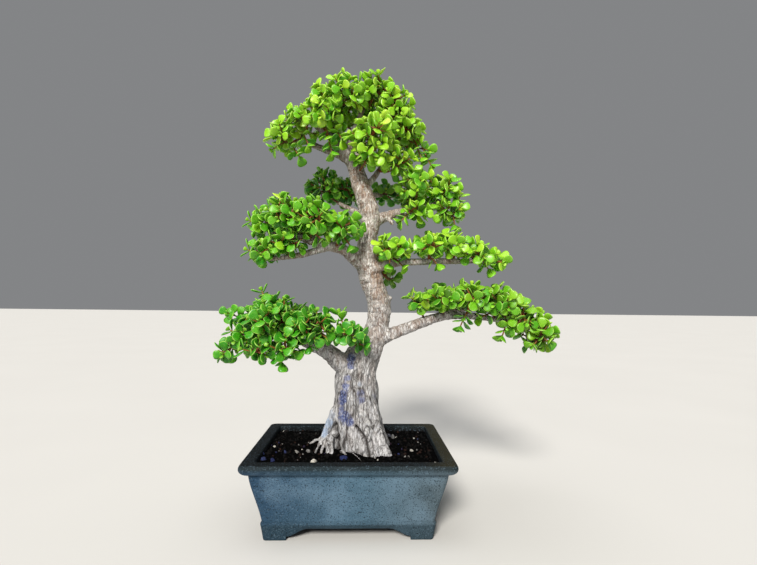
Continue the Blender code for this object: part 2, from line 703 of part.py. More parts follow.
class Shoot:
    """A square stem with pairs of leaves standing on its sides, each pair square to the last."""

    def __init__(self, number, route):
        self.number = number
        self.leaves = {}
        back = [0.0]
        for pair in range(PAIRS):
            back += [pair * PAIR_STEP + PAIR_HEIGHT, (pair + 1) * PAIR_STEP]
        back[-1] = sum((b - a).length for a, b in zip(route, route[1:])) - 0.01 * MM
        back = sorted(set(distance for distance in back if distance <= back[-1]), reverse=True)
        points = [place_back(route, distance) for distance in back]
        count = len(points) - 1
        along = (points[1] - points[0]).normalized()
        guide = Matrix.Rotation(math.radians(SHOOT_TURN * number), 3, along) @ along.orthogonal()
        self.rings = tube_rings(points, [mixed(SHOOT_RADII, k / count) for k in range(count + 1)], 4, guide)

    def segment(self, pair):
        """The index of the ring under a pair of leaves, or nothing where the shoot is too short for it."""
        index = len(self.rings) - 2 - 2 * pair
        return index if index > 0 else None

    def foot(self, pair, side):
        """The four points that a leaf stands on: two low, then two high."""
        low, high = self.rings[self.segment(pair)], self.rings[self.segment(pair) + 1]
        first, second = (pair % 2 + side) % 4, (pair % 2 + side + 1) % 4
        return [low[first], low[second], high[second], high[first]]

    def leaf(self, pair, side, length, turn, tilt):
        """The six free corners of a leaf: widest points, crown, keel and the two at its end."""
        foot = self.foot(pair, side)
        base = sum(foot, Vector()) / 4
        along = (foot[2] + foot[3] - foot[0] - foot[1]).normalized()
        out = along.cross(foot[0] - foot[1]).normalized()
        out = Matrix.Rotation(math.radians(turn), 3, along) @ out
        lean = math.radians(LEAF_LEAN[pair] + tilt)
        reach = along * math.cos(lean) + out * math.sin(lean)
        flat = along * math.sin(lean) - out * math.cos(lean)
        across = Matrix.Rotation(math.radians(turn), 3, along) @ (foot[1] - foot[0]).normalized()
        across *= length * LEAF_WIDTH_SHARE / 2
        widest = base + reach * length * LEAF_WIDEST
        end = base + reach * length
        return [
            widest - across,
            widest + across,
            widest + flat * LEAF_THICK / 2,
            widest - flat * LEAF_THICK / 2,
            end - across * LEAF_END_SHARE,
            end + across * LEAF_END_SHARE,
        ]

    def stem_mesh(self):
        """The bare stem."""
        bm = bmesh.new()
        loft(bm, self.rings)
        bmesh.ops.recalc_face_normals(bm, faces=bm.faces)
        return bm

    def leaf_mesh(self, pair, side, corners, clear=0.0):
        """One leaf by itself, closed at its foot, which a share of its length may be left off."""
        bm = bmesh.new()
        middle = sum(corners, Vector()) / len(corners)
        foot = [bm.verts.new(point.lerp(middle, clear)) for point in self.foot(pair, side)]
        bm.faces.new(foot)
        leaf_faces(bm, foot, corners)
        bmesh.ops.recalc_face_normals(bm, faces=bm.faces)
        return bm

    def misses_stem(self, pair, side, corners):
        """True where a leaf, beyond its foot, stays off the stem that it stands on."""
        stem, leaf = self.stem_mesh(), self.leaf_mesh(pair, side, corners, clear=FOOT_CLEAR)
        crossing = BVHTree.FromBMesh(stem).overlap(BVHTree.FromBMesh(leaf))
        stem.free()
        leaf.free()
        return not crossing

    def leafy_mesh(self):
        """The stem with its leaves, as one skin."""
        bm = bmesh.new()
        loops = [[bm.verts.new(point) for point in ring] for ring in self.rings]
        bm.faces.new(list(reversed(loops[0])))
        bm.faces.new(loops[-1])
        bearers = {
            (self.segment(pair), (pair % 2 + side) % 4): corners
            for (pair, side), corners in self.leaves.items()
        }
        for i, (low, high) in enumerate(zip(loops, loops[1:])):
            for k in range(4):
                foot = (low[k], low[(k + 1) % 4], high[(k + 1) % 4], high[k])
                if (i, k) in bearers:
                    leaf_faces(bm, foot, bearers[i, k])
                else:
                    bm.faces.new(foot)
        return bm


class Element:
    """A stem or leaf as later ones see it: its surface and its box."""

    def __init__(self, bm, spray, stem, pair=None):
        self.spray = spray
        self.stem = stem
        self.pair = pair
        self.tree = BVHTree.FromBMesh(bm)
        self.low = [min(v.co[i] for v in bm.verts) for i in range(3)]
        self.high = [max(v.co[i] for v in bm.verts) for i in range(3)]

    def meets(self, other):
        """True where the two surfaces cross."""
        if any(self.low[i] > other.high[i] or other.low[i] > self.high[i] for i in range(3)):
            return False
        return bool(self.tree.overlap(other.tree))

    def may_meet(self, other):
        """True for two stems of one spray, for a leaf and its own stem, and for the leaves of one pair."""
        if self.spray != other.spray:
            return False
        if self.pair is None and other.pair is None:
            return True
        if self.stem != other.stem:
            return False
        return self.pair is None or other.pair is None or self.pair == other.pair


class Spray:
    """One leafy spray: a twig from the wood into its leaf mass, and shoots from there out to its skin."""

    def __init__(self, number, name, middle, half):
        self.number = number
        self.name = name
        self.middle = middle
        self.half = half
        self.rnd = Random(SEED + number)
        self.twig = []
        self.shoots = []

    def holds(self, point):
        """True where a point lies well inside this leaf mass."""
        away = point - self.middle
        return sum((away[i] / (self.half[i] * WELL_INSIDE)) ** 2 for i in range(3)) < 1

    def tip(self, ray):
        """The point on the leaf mass's skin in a direction, and the way out there."""
        point = self.middle + Vector([self.half[i] * ray[i] for i in range(3)])
        leave = Vector([ray[i] / self.half[i] for i in range(3)]).normalized()
        return point, (leave + UP * TIP_RISE).normalized()

    def twig_mesh(self):
        """The twig as a bmesh."""
        bm = bmesh.new()
        count = len(self.twig) - 1
        loft(bm, tube_rings(self.twig, [mixed(TWIG_RADII, k / count) for k in range(count + 1)], 4))
        bmesh.ops.recalc_face_normals(bm, faces=bm.faces)
        return bm

    def solid(self):
        """The twig and all its leafy shoots, joined into one solid."""
        twig = add_object("spray_" + self.name, self.twig_mesh(), "leaf", crease=30)
        shoots = [
            add_object(f"shoot_{shoot.number}", shoot.leafy_mesh(), "leaf", crease=30)
            for shoot in self.shoots
        ]
        return join(twig, shoots)


class Thicket:
    """Every spray on the wood, each kept clear of the wood and of the others."""

    def __init__(self, wood):
        self.wood = BVHTree.FromObject(wood, bpy.context.evaluated_depsgraph_get())
        self.elements = []
        self.bases = []
        rows = [(f"{pad}_{i + 1}", row) for pad, rows in SPRAYS.items() for i, row in enumerate(rows)]
        self.sprays = [
            Spray(number, name, mm(*row[:3]), mm(row[3], row[4] * DEPTH_STRETCH, row[5]))
            for number, (name, row) in enumerate(rows)
        ]

    def takes(self, spray, bm, stem, pair=None):
        """Records a piece if it is clear of all that it may not touch, and says whether it was."""
        grown = bm.copy()
        grown.normal_update()
        for vert in grown.verts:
            vert.co += vert.normal * SPRAY_GAP
        test = Element(grown, spray.number, stem, pair)
        grown.free()
        free = not self.wood.overlap(test.tree) and not any(
            test.meets(other) for other in self.elements if not test.may_meet(other)
        )
        if free:
            self.elements.append(Element(bm, spray.number, stem, pair))
        bm.free()
        return free

    def base_for(self, spray, goal, reach):
        """A place on the wood near a goal and away from other twigs, and the way out of it."""
        start = goal + Vector([spray.rnd.uniform(-reach, reach) for _ in range(3)])
        place, normal, _, _ = self.wood.find_nearest(start)
        crowded = any((place - other).length < TWIG_APART for other in self.bases)
        faces_away = (goal - place).normalized().dot(normal) < 0.3
        return None if crowded or faces_away else (place, normal)

    def grow_twig(self, spray):
        """Grows the twig that carries a spray, from just off the wood into its leaf mass."""
        for attempt in range(60):
            stray = Vector([spray.half[i] * spray.rnd.uniform(-1, 1) for i in range(3)])
            hub = spray.middle - UP * spray.half.z * HUB_DROP + stray * attempt * HUB_STRAY
            found = self.base_for(spray, hub, attempt * BASE_SEARCH)
            if not found:
                continue
            place, normal = found
            start = place + normal * WOOD_GAP
            stub = start + normal * TWIG_STUB
            handle = stub + normal * (hub - stub).length * TWIG_BEND[0]
            spray.twig = [start] + bezier(stub, handle, hub.lerp(handle, TWIG_BEND[1]), hub, TWIG_STEPS)
            if self.takes(spray, spray.twig_mesh(), 0):
                self.bases.append(place)
                return
        raise RuntimeError("no room on the wood for spray " + spray.name)

    def grow_shoots(self, spray):
        """Grows a spray's shoots out to the skin of its leaf mass, spread as widely as they can be."""
        others = [other for other in self.sprays if other is not spray]
        outward = Vector((spray.middle.x, spray.middle.y, 0.25 * spray.half.length)).normalized()
        chosen = []
        count = SHOOTS_BIG if spray.half.length > BIG_SPRAY else SHOOTS_SMALL
        for number in range(1, count + 1):
            for attempt in range(12):
                ray = self.next_ray(spray, others, chosen, outward if attempt == 0 else None)
                point, leave = spray.tip(ray)
                shoot = Shoot(number, self.shoot_route(spray, point, leave, number))
                if self.takes(spray, shoot.stem_mesh(), number):
                    chosen.append(ray)
                    spray.shoots.append(shoot)
                    break

    def next_ray(self, spray, others, chosen, outward):
        """The direction furthest from those already taken whose tip is in the open."""
        if outward and not chosen:
            return outward
        best, best_room = UP, -1.0
        for _ in range(24):
            ray = Vector([spray.rnd.gauss(0, 1) for _ in range(3)]).normalized()
            if ray.z < LOWEST_RAY or any(other.holds(spray.tip(ray)[0]) for other in others):
                continue
            room = min([(ray - other).length for other in chosen] + [2.0]) + RAY_RISE * ray.z
            if room > best_room:
                best, best_room = ray, room
        return best

    def shoot_route(self, spray, point, leave, number):
        """A curve from the twig to a tip, from further back along the twig where the tip is near."""
        for share in (1 - FORK_STEP * number, *FORKS):
            start, along = place_on(spray.twig, share)
            reach = (point - start).length
            if reach >= SHOOT_SHORTEST:
                break
        straight = (point - start).normalized()
        first = start + (along + straight) * reach * SHOOT_EASE[0]
        last = point - (leave + straight * TIP_STRAIGHT).normalized() * reach * SHOOT_EASE[1]
        return bezier(start, first, last, point, SHOOT_STEPS)

    def grow_leaves(self, spray):
        """Sets pairs of leaves on each shoot, turned or leaned a little where a place is taken."""
        for shoot in spray.shoots:
            for pair in range(PAIRS):
                for side in (0, 2):
                    length = mixed(LEAF_LENGTH, spray.rnd.random())
                    if shoot.segment(pair) is None:
                        continue
                    for turn, tilt in LEAF_NUDGES:
                        corners = shoot.leaf(pair, side, length, turn, tilt)
                        if shoot.misses_stem(pair, side, corners) and self.takes(
                            spray, shoot.leaf_mesh(pair, side, corners), shoot.number, pair
                        ):
                            shoot.leaves[pair, side] = corners
                            break

    def grow(self):
        """Grows all the twigs, then all the shoots, then all the leaves."""
        for stage in (self.grow_twig, self.grow_shoots, self.grow_leaves):
            for spray in self.sprays:
                stage(spray)
        return [spray.solid() for spray in self.sprays]


def set_down(objects):
    """Hangs the objects on one empty and shifts it until the footprint's middle is at the origin."""
    graph = bpy.context.evaluated_depsgraph_get()
    points = [vertex.co.copy() for obj in objects for vertex in obj.evaluated_get(graph).data.vertices]
    low = [min(point[i] for point in points) for i in range(3)]
    high = [max(point[i] for point in points) for i in range(3)]
    stand = bpy.data.objects.new("bonsai", None)
    bpy.context.scene.collection.objects.link(stand)
    stand.location = (-(low[0] + high[0]) / 2, -(low[1] + high[1]) / 2, -low[2])
    for obj in bpy.context.scene.collection.objects:
        if obj is not stand:
            obj.parent = stand


def main():
    """Clears the scene and builds the bonsai."""
    for obj in list(bpy.data.objects):
        bpy.data.objects.remove(obj)
    wood = make_wood()
    built = [make_pot(), make_soil(), wood]
    built += [make_screen(side, x) for side, x in (("left", -DRAIN_X), ("right", DRAIN_X))]
    built += Thicket(wood).grow()
    set_down(built)


main()
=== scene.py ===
"""Looks of a dwarf jade bonsai in a footed stoneware pot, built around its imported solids.

The layout is measured from the middle of the pot's base, in millimetres in every table and size field. Layout
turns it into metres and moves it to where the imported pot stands. Meshes are made in metres.
"""

import logging
import math
from dataclasses import dataclass, field
from enum import Enum
from random import Random
from typing import Callable, Iterable, Optional, Sequence

import bmesh
import bpy
import numpy as np
from mathutils import Matrix, Vector, noise
from mathutils.bvhtree import BVHTree

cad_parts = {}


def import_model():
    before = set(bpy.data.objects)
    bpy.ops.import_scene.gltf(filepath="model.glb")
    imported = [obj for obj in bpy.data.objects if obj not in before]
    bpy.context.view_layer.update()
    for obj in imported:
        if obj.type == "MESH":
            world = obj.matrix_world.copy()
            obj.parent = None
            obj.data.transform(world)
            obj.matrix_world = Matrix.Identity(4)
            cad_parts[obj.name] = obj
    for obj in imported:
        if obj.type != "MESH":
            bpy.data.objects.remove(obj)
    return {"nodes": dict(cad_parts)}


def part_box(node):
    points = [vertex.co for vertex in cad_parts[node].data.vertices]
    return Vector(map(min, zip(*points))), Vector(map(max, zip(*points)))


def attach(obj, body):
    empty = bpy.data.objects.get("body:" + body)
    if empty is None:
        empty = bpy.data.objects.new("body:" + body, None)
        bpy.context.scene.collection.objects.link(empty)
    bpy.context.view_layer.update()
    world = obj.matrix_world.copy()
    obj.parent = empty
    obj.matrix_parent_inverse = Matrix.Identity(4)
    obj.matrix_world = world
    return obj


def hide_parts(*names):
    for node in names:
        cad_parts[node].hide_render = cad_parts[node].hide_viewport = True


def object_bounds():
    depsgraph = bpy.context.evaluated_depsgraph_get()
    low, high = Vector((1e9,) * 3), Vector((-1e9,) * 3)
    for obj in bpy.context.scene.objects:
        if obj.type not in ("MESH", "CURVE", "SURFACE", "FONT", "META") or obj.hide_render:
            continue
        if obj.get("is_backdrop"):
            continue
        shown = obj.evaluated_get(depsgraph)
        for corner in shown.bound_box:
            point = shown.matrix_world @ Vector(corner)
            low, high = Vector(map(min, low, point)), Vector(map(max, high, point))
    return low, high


log = logging.getLogger("bonsai")

MM = 0.001
UP = Vector((0.0, 0.0, 1.0))
SEED = 41
TINT = "tint"
Row = Sequence[float]
Pair = tuple[float, float]
Socket = bpy.types.NodeSocket
Stops = Sequence[tuple[float, str]]


class Pad(Enum):
    """The leaf masses of the tree, by the names that their sprays carry."""

    LOW_LEFT = "low_left"
    LOW_RIGHT = "low_right"
    MID_LEFT = "mid_left"
    MID_RIGHT = "mid_right"
    UPPER_RIGHT = "upper_right"
    BACK = "back"
    APEX = "apex"


# Each pad's green: how yellow, and how much painted shade darkens it, below zero painted lighter. The left is
# a deeper green than the crown
GREENS = {
    Pad.LOW_LEFT: (0.03, 0.12),
    Pad.LOW_RIGHT: (0.5, 0.38),
    Pad.MID_LEFT: (0.27, 0.0),
    Pad.MID_RIGHT: (0.56, 0.05),
    Pad.UPPER_RIGHT: (0.53, 0.0),
    Pad.BACK: (0.0, -0.5),
    Pad.APEX: (0.6, 0.05),
}

# Trunk: x, y, z and the radii across and front to back
TRUNK: tuple[Row, ...] = (
    (8, -4, 96, 34, 33), (8, -4, 112, 34, 33), (8, -4, 130, 34, 33), (7, -3, 150, 33, 32),
    (6, -2, 172, 31.5, 31), (6, 0, 194, 29, 29), (12, 1, 214, 26.5, 26.5), (24, 3, 238, 20.5, 22),
    (34, 4, 258, 17, 18), (38, 5, 275, 16.5, 17), (38, 5, 295, 16.8, 17), (31, 4, 321, 17, 17),
    (24, 2, 344, 17, 17), (19, 0, 364, 16, 16.5), (18, -2, 380, 14.2, 15), (20, -3, 396, 13, 14),
    (24, -3, 414, 14, 14), (21, -2, 436, 14.5, 14), (15, 0, 455, 13.3, 13.3), (9, 2, 473, 12.8, 12.8),
    (3, 3, 490, 12, 12), (-3, 4, 506, 10.5, 10.5), (-9, 5, 518, 7.5, 7.5),
)

# Root swellings: bearing and half width in degrees, reach at the soil, height where each starts
ROOTS: tuple[Row, ...] = (
    (-43, 15, 31, 74), (-70, 12, 23, 60), (-172, 20, 12, 60), (147, 10, 36, 42),
    (100, 22, 16, 55), (52, 18, 20, 60), (8, 18, 15, 55),
)

# Branches: x, y, z and radius along each
BRANCHES: dict[str, tuple[Row, ...]] = {
    "low_left": (
        (-2, -2, 200, 14), (-18, -8, 214, 13.5), (-35, -14, 229, 12.5), (-56, -18, 242, 11),
        (-78, -20, 252, 9.5), (-100, -20, 256, 7.5), (-125, -20, 256, 5.5), (-150, -22, 250, 3.5),
    ),
    "low_left_back": ((-54, -16, 241, 6), (-72, 4, 252, 4.6), (-98, 24, 261, 3.2)),
    "low_left_front": ((-60, -18, 244, 5.5), (-74, -34, 250, 4.2), (-90, -48, 252, 3)),
    "low_right": (
        (28, 2, 240, 13.5), (46, -2, 250, 10.5), (66, -6, 258, 8.8), (90, -9, 267, 7.8),
        (116, -11, 277, 7), (142, -12, 282, 6.2), (168, -13, 281, 5.2), (196, -14, 278, 4.4),
        (226, -16, 271, 3.6), (256, -20, 256, 2.8),
    ),
    "low_right_back": ((112, -11, 276, 5), (132, 8, 284, 4), (164, 22, 290, 3.2), (198, 26, 292, 2.6)),
    "mid_left": (
        (18, 0, 350, 11), (2, -6, 362, 9.5), (-14, -12, 374, 8.2), (-32, -16, 379, 7.5),
        (-50, -18, 383, 6.5), (-72, -20, 390, 5.5), (-96, -22, 396, 4.2), (-120, -24, 398, 3),
    ),
    "mid_left_low": (
        (-34, -16, 378, 5.5), (-52, -18, 372, 4.8), (-70, -20, 366, 4.4), (-90, -22, 362, 4),
        (-118, -25, 358, 3),
    ),
    "mid_left_back": ((-30, -15, 379, 5), (-50, 8, 391, 4), (-80, 26, 402, 2.8)),
    "mid_right": (
        (22, -3, 344, 9), (36, -10, 350, 7.2), (54, -14, 355, 6), (76, -17, 357, 5.4),
        (100, -19, 358, 5), (126, -20, 359, 4.5), (152, -21, 359, 4), (178, -22, 360, 3.3),
        (200, -22, 361, 2.6),
    ),
    "upper_right": (
        (22, -3, 412, 10.5), (40, 2, 424, 8.5), (58, 6, 431, 7.2), (76, 10, 436, 6.2),
        (98, 12, 441, 5.2), (118, 12, 447, 4.2), (134, 12, 455, 3),
    ),
    "riser": ((10, 3, 464, 6.5), (24, 8, 480, 4.8), (34, 14, 496, 4), (44, 20, 514, 3)),
    "back_right": ((14, 4, 456, 6), (26, 26, 464, 4.6), (42, 50, 470, 3.2)),
    "back_left": ((20, 0, 426, 7), (8, 22, 434, 5), (-8, 44, 446, 4.2), (-28, 62, 460, 3)),
    "back_low": ((30, 6, 330, 6), (38, 28, 344, 4.2), (42, 44, 358, 3)),
    "apex_low": (
        (-6, 5, 510, 8), (-22, 8, 520, 6.5), (-40, 10, 526, 5.4), (-60, 8, 533, 4.4), (-84, 4, 541, 3.2),
    ),
    "apex_up": (
        (-6, 4, 510, 8), (-16, -2, 524, 6.5), (-30, -6, 537, 5.6), (-48, -9, 550, 4.6), (-62, -10, 560, 3.4),
    ),
    "apex_top": ((-7, 4, 512, 7.5), (-6, 0, 540, 5.6), (2, -3, 564, 4.4), (12, -6, 586, 3)),
    "apex_right": ((-6, 4, 508, 7), (14, 2, 526, 5.4), (36, 0, 544, 4.2), (58, -2, 558, 3)),
    "apex_back": ((-8, 6, 514, 6), (4, 24, 540, 4.6), (22, 36, 562, 3.8), (46, 40, 576, 2.8)),
}

# Leaf masses: the middle of each, then its half width, half depth and half height
SPRAYS: dict[Pad, tuple[Row, ...]] = {
    Pad.LOW_LEFT: (
        (-144, -26, 256, 22, 30, 29), (-105, -46, 271, 29, 30, 34), (-88, -56, 239, 20, 20, 20),
        (-54, -50, 264, 25, 26, 25), (-6, -42, 257, 21, 20, 12), (-136, 26, 268, 30, 30, 30),
        (-84, 36, 270, 31, 28, 24), (-171, -26, 229, 7, 14, 12), (-122, -50, 234, 20, 22, 15),
    ),
    Pad.LOW_RIGHT: (
        (95, -8, 301, 16, 20, 9), (128, -30, 305, 22, 28, 14), (136, 24, 308, 22, 28, 16),
        (166, -22, 308, 24, 34, 17), (205, -26, 303, 23, 30, 17), (212, 28, 304, 24, 28, 18),
        (237, -22, 278, 24, 32, 23), (265, -18, 253, 19, 32, 23),
    ),
    Pad.MID_LEFT: (
        (-123, -22, 409, 22, 32, 22), (-90, -42, 417, 25, 28, 24), (-55, -46, 412, 24, 26, 25),
        (-14, -42, 402, 24, 22, 18), (-124, -26, 368, 21, 28, 16), (-90, -34, 379, 24, 24, 17),
        (-102, 32, 422, 29, 28, 23), (-56, 34, 424, 25, 26, 22),
    ),
    Pad.MID_RIGHT: (
        (54, -24, 374, 25, 28, 14), (106, -34, 379, 19, 24, 13), (112, 22, 384, 20, 26, 14),
        (144, -20, 382, 21, 34, 16), (173, -23, 368, 18, 30, 14), (207, -20, 361, 8, 14, 9),
    ),
    Pad.UPPER_RIGHT: (
        (92, -2, 470, 22, 32, 20), (130, 10, 470, 22, 32, 20), (141, 6, 437, 17, 28, 18),
        (92, -4, 434, 13, 20, 15), (91, 44, 458, 20, 24, 19),
    ),
    Pad.BACK: (
        (-50, 70, 486, 26, 28, 22), (-16, 82, 480, 22, 24, 24), (52, 70, 477, 21, 26, 14),
        (42, 54, 374, 12, 18, 16), (55, 44, 338, 10, 10, 10),
    ),
    Pad.APEX: (
        (-104, -2, 541, 17, 28, 18), (-78, -12, 557, 22, 30, 21), (-44, -26, 566, 23, 28, 24),
        (-46, 0, 601, 17, 30, 16), (-13, -16, 599, 26, 34, 22), (26, -6, 607, 27, 38, 23),
        (57, -6, 584, 24, 38, 27), (76, -4, 550, 21, 36, 28), (62, -16, 503, 20, 28, 22),
        (22, -44, 533, 27, 24, 25), (-36, 46, 598, 32, 26, 28), (28, 54, 596, 38, 28, 32),
        (70, 48, 562, 26, 26, 29), (20, -34, 506, 22, 24, 17),
    ),
}

# Tips of the loose sprigs that stand out beyond the leaf masses: x, y and z
LOOSE_TIPS: tuple[Row, ...] = (
    (106, -10, 524), (98, -12, 510), (112, -10, 501), (-37, -28, 534), (-18, -30, 530), (-32, -26, 512),
    (-67, -16, 526), (-81, -10, 511), (-118, -8, 522), (157, 0, 459), (150, 4, 415), (68, -8, 418),
    (51, -26, 353), (70, -28, 350), (118, -30, 353), (193, -22, 348), (158, -26, 280), (182, -26, 280),
    (152, -24, 266), (271, -18, 283), (211, -24, 253), (-4, -42, 376), (-43, -44, 384), (-172, -24, 282),
    (-125, -30, 312), (-17, -40, 282), (-55, -46, 239), (17, -38, 239), (-92, -54, 218),
)


def mm(x: float, y: float, z: float) -> Vector:
    """A point given in millimetres."""
    return Vector((x, y, z)) * MM


def smooth(share: float) -> float:
    """Eases 0 to 1 with level ends."""
    share = min(1.0, max(0.0, share))
    return share * share * (3 - 2 * share)


def mixed(pair: Row, share: float) -> float:
    """A value between the two of a pair."""
    return pair[0] + (pair[1] - pair[0]) * share


def share_of(pair: Row, value: float) -> float:
    """How far a value lies from the first of a pair to the second."""
    return (value - pair[0]) / (pair[1] - pair[0])


def linear(code: str) -> tuple[float, float, float, float]:
    """Turns an sRGB hex colour to linear light.

    Args:
        code: Six hex digits after a hash sign.

    Returns:
        Red, green, blue and an alpha of 1.
    """
    shades = [int(code[i:i + 2], 16) / 255 for i in (1, 3, 5)]
    return (*[c / 12.92 if c <= 0.04045 else ((c + 0.055) / 1.055) ** 2.4 for c in shades], 1.0)


def length_of(rows: Sequence[Row]) -> float:
    """The length of a route through rows that start with x, y and z."""
    return sum(math.dist(a[:3], b[:3]) for a, b in zip(rows, rows[1:]))


def circle(count: int, start: float = 0.0) -> list[Pair]:
    """Cosine and sine of even steps round a circle, from a share of a step on."""
    turns = [math.tau * (k + start) / count for k in range(count)]
    return [(math.cos(turn), math.sin(turn)) for turn in turns]


def spline(points: Sequence[Row], count: int, fineness: int = 8) -> list[list[float]]:
    """Evenly spread rows on a smooth curve through rows of numbers.

    Args:
        points: Rows that start with x, y and z.
        count: How many rows to hand back.
        fineness: Steps of the curve between two of the rows, before they are spread.

    Returns:
        The rows, the first and last of them unchanged.
    """
    ends = [points[0]] + list(points) + [points[-1]]
    fine: list[list[float]] = []
    for a, b, c, d in zip(ends, ends[1:], ends[2:], ends[3:]):
        for k in range(fineness):
            t = k / fineness
            fine.append([
                (2 * q + t * (r - p + t * (2 * p - 5 * q + 4 * r - s + t * (3 * q - p - 3 * r + s)))) / 2
                for p, q, r, s in zip(a, b, c, d)
            ])
    fine.append(list(points[-1]))
    run = [0.0]
    for one, two in zip(fine, fine[1:]):
        run.append(run[-1] + math.dist(one[:3], two[:3]))
    rows = []
    for k in range(count):
        goal = run[-1] * k / (count - 1)
        i = next(n for n in range(1, len(run)) if run[n] >= goal - 1e-9)
        share = (goal - run[i - 1]) / (run[i] - run[i - 1])
        rows.append([p + (q - p) * share for p, q in zip(fine[i - 1], fine[i])])
    return rows


def bezier(a: Vector, b: Vector, c: Vector, d: Vector, steps: int) -> list[Vector]:
    """Points along a curve with two handles.

    Args:
        a: Its start.
        b: The first handle.
        c: The second handle.
        d: Its end.
        steps: How many steps lie between the points.

    Returns:
        The points, from start to end.
    """
    route = []
    for k in range(steps + 1):
        t = k / steps
        route.append(a * (1 - t) ** 3 + b * 3 * t * (1 - t) ** 2 + c * 3 * t * t * (1 - t) + d * t ** 3)
    return route


def place_on(route: Sequence[Vector], share: float) -> tuple[Vector, Vector]:
    """Finds a place on a route.

    Args:
        route: The points of the route.
        share: How far along it, from 0 to 1.

    Returns:
        The point there and the direction of the route.
    """
    place = share * (len(route) - 1)
    i = min(len(route) - 2, int(place))
    step = route[i + 1] - route[i]
    return route[i] + step * (place - i), step.normalized()


def place_back(route: Sequence[Vector], distance: float) -> Optional[Vector]:
    """Finds a place on a route from its end.

    Args:
        route: The points of the route.
        distance: How far back from its tip.

    Returns:
        The point, or nothing where the route is too short.
    """
    backward = list(reversed(route))
    for near, far in zip(backward, backward[1:]):
        step = far - near
        if distance <= step.length:
            return near + step.normalized() * distance
        distance -= step.length
    return None


def tube_rings(
    points: Sequence[Vector], radii: Sequence[float], sides: int, guide: Optional[Vector] = None
) -> list[list[Vector]]:
    """Rings of points along a route, each square to the route and none twisted against the last.

    Args:
        points: The route.
        radii: The radius at each point.
        sides: Points in a ring.
        guide: Which way the first ring's first side faces.

    Returns:
        One ring for each point of the route.
    """
    rings = []
    for i, (point, radius) in enumerate(zip(points, radii)):
        along = (points[min(len(points) - 1, i + 1)] - points[max(0, i - 1)]).normalized()
        guide = guide or along.orthogonal()
        guide = (guide - along * guide.dot(along)).normalized()
        other = along.cross(guide)
        rings.append([
            point + (guide * cos + other * sin) * radius for cos, sin in circle(sides, 0.5)
        ])
    return rings


def loft(bm: bmesh.types.BMesh, rings: Sequence[Sequence[Vector]]) -> None:
    """Skins closed rings of points in order and caps both ends.

    Args:
        bm: Where the skin is added.
        rings: The rings, all with the same number of points.
    """
    loops = [[bm.verts.new(point) for point in ring] for ring in rings]
    for low, high in zip(loops, loops[1:]):
        for i in range(len(low)):
            j = (i + 1) % len(low)
            bm.faces.new((low[i], low[j], high[j], high[i]))
    bm.faces.new(list(reversed(loops[0])))
    bm.faces.new(loops[-1])


def band_faces(rings: int, sides: int) -> list[list[int]]:
    """Skins rings of points that are numbered ring by ring.

    Args:
        rings: How many rings.
        sides: Points in a ring.

    Returns:
        The faces between them, which face outward where the rings run against the clock.
    """
    faces = []
    for low in range(0, (rings - 1) * sides, sides):
        high = low + sides
        for k in range(sides):
            j = (k + 1) % sides
            faces.append([low + k, low + j, high + j, high + k])
    return faces


def round_corners(half: Row, radius: float, steps: int) -> list[list[Pair]]:
    """The four corners of a rectangle with round corners.

    Args:
        half: Half its width and half its depth.
        radius: The corners' radius.
        steps: Steps round one corner.

    Returns:
        The x and y of each corner's points, against the clock from the right-hand back corner.
    """
    corners = []
    for quarter in range(4):
        x = (1 if quarter in (0, 3) else -1) * (half[0] - radius)
        y = (1 if quarter in (0, 1) else -1) * (half[1] - radius)
        turns = [math.radians(90 * (quarter + k / steps)) for k in range(steps + 1)]
        corners.append([(x + radius * math.cos(turn), y + radius * math.sin(turn)) for turn in turns])
    return corners


@dataclass(frozen=True)
class Layout:
    """Where the middle of the pot's base lies in the frame, in metres."""

    shift: Vector

    @classmethod
    def from_frame(cls) -> "Layout":
        """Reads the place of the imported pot."""
        low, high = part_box("pot")
        return cls(Vector(((low.x + high.x) / 2, (low.y + high.y) / 2, 0.0)))

    def settle(self, mesh: bpy.types.Mesh) -> bpy.types.Mesh:
        """Moves a mesh laid out round the pot's middle to its place in the frame."""
        mesh.transform(Matrix.Translation(self.shift))
        return mesh


@dataclass
class Skin:
    """Points, faces and tints gathered for one mesh.

    A tint is three numbers for each point, which the finishes read: how far the point's part strays from
    the common colour, how young it is, which painted shade on a leaf can take below zero, and how near it
    lies to an edge or a hollow: a leaf's rim, partly painted as glow, or a fold or crack of the bark, painted
    dark as shade.
    """

    points: list[np.ndarray] = field(default_factory=list)
    tints: list[np.ndarray] = field(default_factory=list)
    faces: list[list[int]] = field(default_factory=list)
    finishes: list[int] = field(default_factory=list)
    size: int = 0

    def add(
        self, points: np.ndarray, faces: Iterable[Sequence[int]], tint: Row = (0, 0, 0), finish: int = 0
    ) -> None:
        """Adds a part.

        Args:
            points: Its points, one row each.
            faces: Its faces, as places in points.
            tint: Three numbers for each point, or three for all of them.
            finish: Which of the mesh's materials the part takes.
        """
        self.points.append(np.asarray(points, float))
        self.tints.append(np.broadcast_to(tint, (len(points), 3)))
        before = len(self.faces)
        self.faces += [[i + self.size for i in face] for face in faces]
        self.finishes += [finish] * (len(self.faces) - before)
        self.size += len(points)

    def mesh(self, name: str, materials: Sequence[bpy.types.Material], crease: float = 180) -> bpy.types.Mesh:
        """Makes the mesh.

        Args:
            name: The mesh's name.
            materials: Its materials, in the order of the parts' finishes.
            crease: The angle in degrees from which an edge stays sharp.

        Returns:
            The finished mesh.
        """
        mesh = bpy.data.meshes.new(name)
        mesh.from_pydata(np.concatenate(self.points).tolist(), [], self.faces)
        mesh.polygons.foreach_set("material_index", self.finishes)
        for material in materials:
            mesh.materials.append(material)
        write_tint(mesh, np.concatenate(self.tints))
        mesh.shade_smooth()
        if crease < 180:
            mesh.set_sharp_from_angle(angle=math.radians(crease))
        mesh.update()
        return mesh


